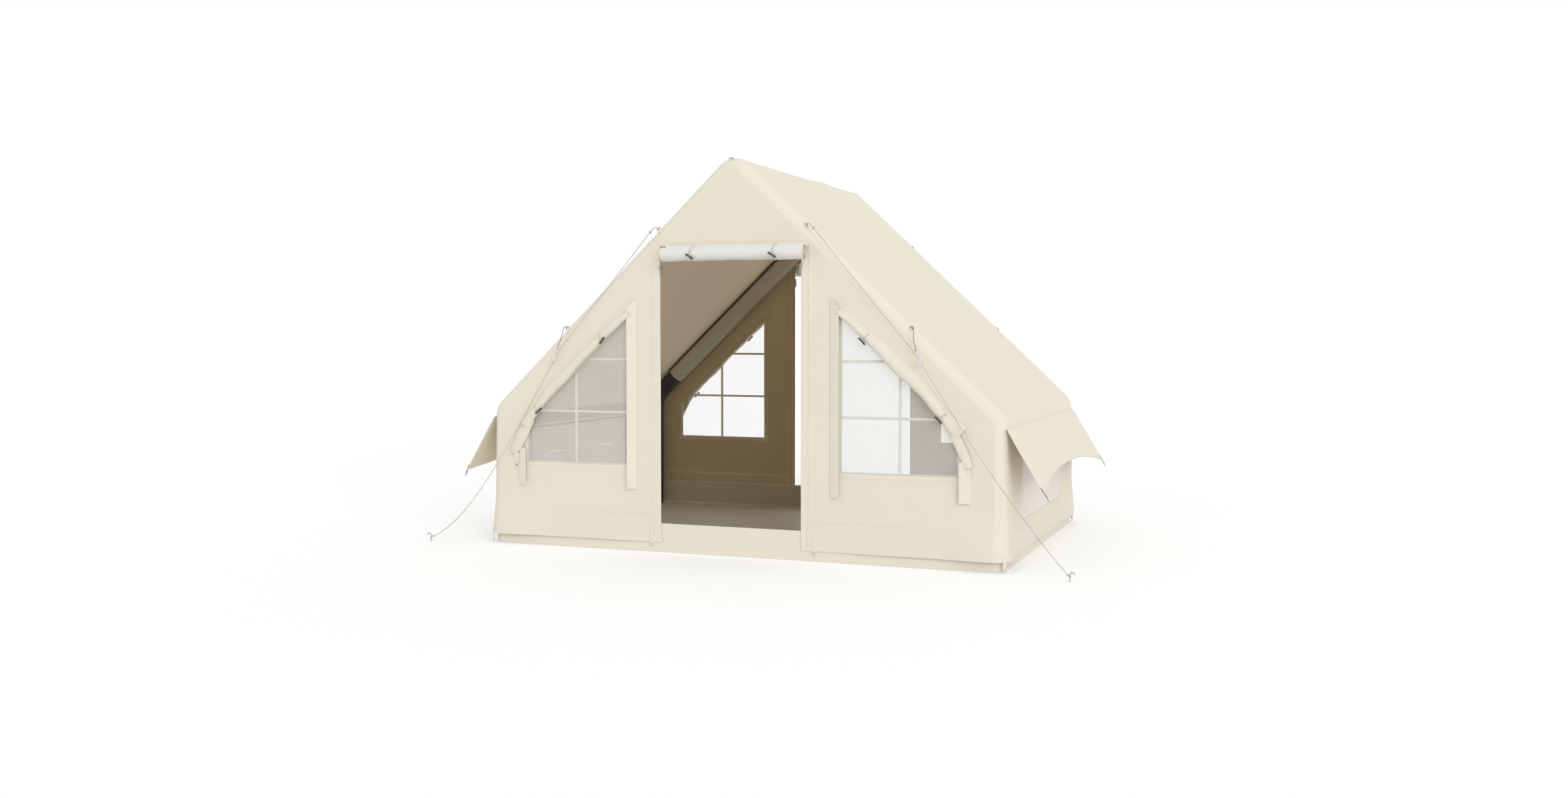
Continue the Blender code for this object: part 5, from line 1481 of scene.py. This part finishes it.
door_cloth = cloth_finish("door_white", *DOOR_WHITE, 0.0010, 0.25, 0.5, 0.0003)
half = (DOOR_RIGHT - DOOR_LEFT) / 2
bound = (door_cloth.along - half).size() > half - 0.014
door_cloth.feed(Base_Color=bound.blend(door_cloth.dyed(), TAPE_CREAM[0]))
for word, end in ENDS.items():
    left, right = sorted((-end * DOOR_LEFT, -end * DOOR_RIGHT))
    centre_y = end * (HALF_DEPTH + GAP + TIE + DOOR_ROLL_RADIUS)
    stations = []
    for share in spread(0, 1, 60):
        place = share * (len(DOOR_SAG) - 1)
        i = min(len(DOOR_SAG) - 2, int(place))
        size = DOOR_ROLL_RADIUS * (DOOR_SAG[i] + (DOOR_SAG[i + 1] - DOOR_SAG[i]) * soft(place - i))
        stations.append((Vector((left + (right - left) * share, centre_y, DOOR_ROLL_HEIGHT)),
                         Vector((0, 0, size)), Vector((0, end * size, 0))))

    def to_lintel(middle, across, out):
        return Vector((middle.x, end * (HALF_DEPTH + 0.0006), LINTEL + 0.002))

    mesh = roll_mesh(word + "_door", stations, DOOR_TURNS, 0.08, radians(-48), to_lintel, end, 0.085, 18)
    roll = add_cloth(word + "_door_cloth", mesh, [door_cloth], "door_cloth", 0.0012, [word + "_door_roll"],
                     0.0)
    cords = []
    size = DOOR_ROLL_RADIUS * 1.012 + 0.0012
    reach = DOOR_ROLL_RADIUS + TIE + GAP + TOGGLE_RADIUS
    pivot = Vector((0, end * cos(DOOR_TOGGLE_TURN), -sin(DOOR_TOGGLE_TURN)))
    for x in DOOR_TIES:
        middle = Vector((-end * x, centre_y, DOOR_ROLL_HEIGHT))
        cords += cord_round(middle, (0, 0, size), (0, end * size, 0), Vector((1, 0, 0)), 0.0016, 36)
        side_word = "left" if middle.x < 0 else "right"
        add_toggle(f"{word}_door_toggle_{side_word}", middle + pivot * reach, pivot, (1, 0, 0),
                   radians(-35) * -end)
    add_piece(word + "_door_ties", joined(cords), [tie_braid])


# Door zips: a nylon coil up each jamb, with the frame's own metal slider parked near the top.
ZIP_METAL = (0.50, 0.47, 0.41, 1), (0.30, 0.28, 0.24, 1)
COIL_RADIUS = 0.0015
COIL_BACK = 0.0024
COIL_CREAM = (0.62, 0.57, 0.47, 1), (0.40, 0.36, 0.29, 1)


def metal_finish(name, light, shade, roughness):
    """Cast or drawn metal: fine directionless scratches, duller handled patches."""
    finish = Finish(name, Metallic=1.0, Roughness=roughness)
    marks = finish.place.noise(240, 4, 0.6)
    wear = finish.place.noise(40, 3)
    tone = (marks * 0.8 + wear * 0.5 - 0.15).clamped()
    return finish.feed(Base_Color=tone.blend(shade, light), Roughness=wear * 0.25 + (roughness - 0.1),
                       Normal=marks.relief(0.00005))


def ribbed_finish(name, light, shade, pitch):
    """A nylon coil, ribbed across its length."""
    finish = Finish(name, Roughness=0.45)
    ribs = (finish.along * (2 * pi / pitch)).sine()
    patches = finish.place.noise(30, 3)
    tone = (ribs * 0.3 + patches * 0.8 + 0.1).clamped()
    return finish.feed(Base_Color=tone.blend(shade, light), Roughness=patches * 0.2 + 0.35,
                       Normal=ribs.relief(0.0004))


zip_metal = metal_finish("zip_metal", *ZIP_METAL, 0.35)
zip_coil = ribbed_finish("zip_coil", *COIL_CREAM, 0.0016)
for word, end in ENDS.items():
    coils = []
    for side_word, side in SIDES.items():
        refinish(f"{word}_zip_slider_{side_word}", zip_metal)
        x, y = side * (DOOR_EDGE[end * side] + 0.0004), end * (HALF_DEPTH - COIL_BACK)
        line = [Vector((x, y, z)) for z in spread(HEM_HEIGHT + 0.004, LINTEL - 0.004, 40)]
        coils.append(tube_mesh("coil", line, COIL_RADIUS, 2))
    add_piece(word + "_door_zip_coils", joined(coils), [zip_coil])


# Placket strips: flat bands of doubled canvas beside each gable window, sewn at the top and
# free below, that cover the zip of the let down cover.
PLACKETS = ((0.569, 0.627, 0.349, 1.405), (1.276, 1.336, 0.349, 0.562))
PLACKET_TURN = radians(20)
PLACKET_TOP = (0.598, 1.388)
placket_cloth = stitched_finish("placket_canvas", *CANVAS_CREAM, 0.0285)
for word, end in ENDS.items():
    bm = bmesh.new()
    for side in SIDES.values():
        for inner, outer, low, high in PLACKETS:
            x = side * (inner + outer) / 2
            turn = PLACKET_TURN if inner < WINDOW_INNER else -PLACKET_TURN
            stand = (outer - inner) / 2 * sin(PLACKET_TURN) + 0.0025
            tilted = Vector((-side * sin(turn), end * cos(turn), 0))
            line = [(spot, tilted) for spot, _ in gable_line(end, (x, low), (x, high), lift=stand)]
            add_tape(bm, line, outer - inner, 0.0016)
        head = Vector((side * PLACKET_TOP[0], 0, PLACKET_TOP[1]))
        bmesh.ops.bisect_plane(bm, geom=bm.verts[:] + bm.edges[:] + bm.faces[:], plane_co=head,
                               plane_no=(side * PITCH_SIN, 0, PITCH_COS), clear_outer=True)
    add_cloth(word + "_plackets", bm, [placket_cloth], "canvas", 0.0034)


# Awnings: canvas flaps sewn into the eave seams over the netting windows, cut in a curve
# between two points, bound along the edge, with a webbing strap and ring at each point.
AWNING_HALF = 1.025
AWNING_TILT = radians(30.9)
AWNING_MIDDLE = 0.285
AWNING_TIP = 0.378
AWNING_CURVE = 2.2
AWNING_BILLOW = 0.010
UNDERSIDE_SHADE = (0.87, 0.795, 0.63, 1), (0.81, 0.735, 0.575, 1)
STRAP_BROWN = (0.20, 0.165, 0.12, 1), (0.12, 0.097, 0.07, 1)


def awning_spot(side, y, fall, lift=0.0):
    """The place and outer normal of the awning, at y along the seam and a share of the way
    from the seam to its lower edge."""
    down = Vector((side * sin(AWNING_TILT), 0, -cos(AWNING_TILT)))
    out = Vector((side * cos(AWNING_TILT), 0, sin(AWNING_TILT)))
    share = max(-1.0, min(1.0, y / AWNING_HALF))
    length = AWNING_MIDDLE + (AWNING_TIP - AWNING_MIDDLE) * abs(share) ** AWNING_CURVE
    billow = AWNING_BILLOW * sin(pi * fall) * (1 - share * share)
    ruck = 0.0025 * drift(y * 3.1, fall * 1.2, side * 4) + 0.0015 * drift(y * 9, fall, side)
    hinge = Vector((side * (HALF_WIDTH + 0.0015 + GAP), y, SEAM_HEIGHT))
    return hinge + down * length * fall + out * (billow + ruck * soft(fall * 4) + lift), out


awning_cloth = cloth_finish("awning_cream", *ROOF_CREAM, *ROOF_WEAVE, 0.2, 0.78)
# The awning's underside is painted shade, a darker, yellower copy of the roof's cream.
awning_under_shade = cloth_finish("awning_under_shade", *UNDERSIDE_SHADE, *ROOF_WEAVE)
strap_web = stitched_finish("strap_web", *STRAP_BROWN, 0.008)
for word, side in SIDES.items():
    name = "awning_" + word
    bm = bmesh.new()
    bmesh.ops.create_grid(bm, x_segments=90, y_segments=16, size=0.5)
    bmesh.ops.scale(bm, vec=(2 * AWNING_HALF, 1, 1), verts=bm.verts)
    bmesh.ops.translate(bm, vec=(0, -0.5, 0), verts=bm.verts)
    sew(bm, lambda y, fall: awning_spot(side, side * y, -fall)[0],
        lambda y, fall: max(soft(1 + fall * 9), soft((-fall - 0.9) * 9)))
    layer = bm.loops.layers.uv["UVMap"]
    for face in bm.faces:
        for loop in face.loops:
            loop[layer].uv.y *= AWNING_TIP
    flap = add_cloth(name + "_cloth", bm, [awning_cloth, awning_under_shade], "canvas", CLOTH, [name], 0.0,
                     lined=True, body=name)
    edges = [[awning_spot(side, y, 1.0)[0] for y in spread(-AWNING_HALF, AWNING_HALF, 80)]]
    edges += [[awning_spot(side, end * AWNING_HALF, fall)[0] for fall in spread(0.04, 1.0, 12)]
              for end in ENDS.values()]
    binding = joined([tube_mesh("edge", line, BINDING_RADIUS, 2) for line in edges])
    add_piece(name + "_binding", binding, [facing_tape], body=name)
    line = [awning_spot(side, side * y, 0.965) for y in spread(-AWNING_HALF * 0.995, AWNING_HALF * 0.995, 80)]
    add_tapes(name + "_hem", [(line, TAPE)], [seam_tape], "canvas", offset=0.0, body=name)
    straps, rings = [], []
    for end in ENDS.values():
        tip, out = awning_spot(side, end * AWNING_HALF, 1.0)
        tip.y -= end * 0.008
        down = Vector((side * sin(AWNING_TILT), end * -0.25, -cos(AWNING_TILT))).normalized()
        straps.append(([(tip + down * far + out * 0.001, out) for far in spread(-0.035, 0.025, 6)], 0.011))
        rings.append(ring_mesh(tip + down * 0.034, down * 0.010, down.cross(out) * 0.009, 0.0013))
    add_tapes(name + "_straps", straps, [strap_web], "canvas", 0.002, 0.0008, offset=0.0, body=name)
    add_piece(name + "_rings", joined(rings), [zip_metal], body=name)


# Guy points: webbing loops sewn into the beams' rounded edges, and one at each end of the
# ridge, each with a small brown moulded bar.
LOOPS_X = (0.440, 1.020)
LOOP_REACH = 0.017
# Points of a loop's arch: aside and away from its foot, and the two parts of the normal.
LOOP_ARCH = ((-0.0024, -0.003, -1, 0), (-0.0026, LOOP_REACH * 0.5, -1, 0),
             (-0.0022, LOOP_REACH * 0.85, -0.9, 0.4), (0, LOOP_REACH, 0, 1),
             (0.0022, LOOP_REACH * 0.85, 0.9, 0.4), (0.0026, LOOP_REACH * 0.5, 1, 0), (0.0024, -0.003, 1, 0))
BAR_BROWN = (0.13, 0.10, 0.07, 1), (0.08, 0.06, 0.042, 1)


def loop_axes(x, end):
    """A guy loop's foot, the way it stands out, and the way along the edge."""
    if abs(x) < 0.01:
        slope, along = Vector((0, 0, 1)), Vector((1, 0, 0))
        crest = Vector((0, 0, outer_spot(outer_length / 2)[0].z))
    else:
        side = 1 if x > 0 else -1
        slope = Vector((side * PITCH_SIN, 0, PITCH_COS))
        along = Vector((side * PITCH_COS, 0, -PITCH_SIN))
        crest = Vector((x, 0, ROOF_PEAK - PITCH_TAN * abs(x)))
    lean = pi / 4
    foot = crest - slope * EDGE_RADIUS * (1 - cos(lean))
    foot.y = end * (EDGE_STRAIGHT + EDGE_RADIUS * sin(lean))
    out = slope * cos(lean) + Vector((0, end * sin(lean), 0))
    return foot, out, along


bar_plastic = moulded_finish("bar_plastic", *BAR_BROWN, 0.45)
loops, bars = [], []
for end in ENDS.values():
    for x in (0.0, *[side * x for x in LOOPS_X for side in SIDES.values()]):
        foot, out, along = loop_axes(x, end)
        thick = out.cross(along)
        arch = [(foot + thick * aside + out * away, (thick * across + out * raised).normalized())
                for aside, away, across, raised in LOOP_ARCH]
        loops.append((arch, TAPE))
        bars.append(ring_mesh(foot + out * (LOOP_REACH - 0.002), along * 0.0120, out * 0.0050, 0.0015, 20))
add_tapes("guy_point_webbing", loops, [seam_tape], "roof_canvas", 0.0012, 0.0006)
add_piece("guy_point_bars", joined(bars), [bar_plastic])


# Guy fittings: white moulded rings and runners on the ropes, and bent steel pegs, which are
# the frame's own solids with a moulded and a drawn finish.
FITTING_WHITE = (0.80, 0.79, 0.75, 1), (0.70, 0.685, 0.64, 1)
STEEL = (0.60, 0.61, 0.63, 1), (0.42, 0.42, 0.43, 1)
fitting_plastic = moulded_finish("fitting_plastic", *FITTING_WHITE, 0.35)
peg_steel = metal_finish("peg_steel", *STEEL, 0.3)
for word in SIDES:
    refinish("guy_ring_" + word, fitting_plastic)
    refinish("guy_tensioner_" + word, fitting_plastic)
    refinish("guy_peg_" + word, peg_steel)


# Peg points: webbing tabs sewn on over the hem beside each door and round each corner, each
# with a white moulded ring for a peg.
DOOR_TAB_X = 0.482
TAB = 0.020
PEG_RING_WIDTH, PEG_RING_HEIGHT = 0.017, 0.019
PEG_RING_WIRE = 0.0017
tabs, rings = [], []
for end in ENDS.values():
    for side in SIDES.values():
        x, t = side * DOOR_TAB_X, end * (EDGE_STRAIGHT + 0.75 * EDGE_RADIUS)
        tabs.append((gable_line(end, (x, HEM_HEIGHT - 0.006), (x, HEM_HEIGHT + 0.072), 0.008, 0.0014), TAB))
        line = [shell_spot(t, z if side > 0 else outer_length - z, 0.0014) for z in spread(0.020, 0.086, 10)]
        tabs.append((line, TAB))
        foot, out = line[0]
        middle = Vector((x, end * (HALF_DEPTH + 0.0030), HEM_HEIGHT - 0.012))
        for centre, across in ((middle, Vector((1, 0, 0))),
                               (foot + Vector((0, 0, -0.007)), out.cross(Vector((0, 0, 1))).normalized())):
            rings.append(ring_mesh(centre, across * (PEG_RING_WIDTH / 2), (0, 0, PEG_RING_HEIGHT / 2),
                                   PEG_RING_WIRE))
peg_tape = stitched_finish("peg_tape", *TAPE_CREAM, TAB / 2)
add_tapes("peg_tabs", tabs, [peg_tape], "canvas", 0.0022, 0.0010)
add_piece("peg_rings", joined(rings), [fitting_plastic])
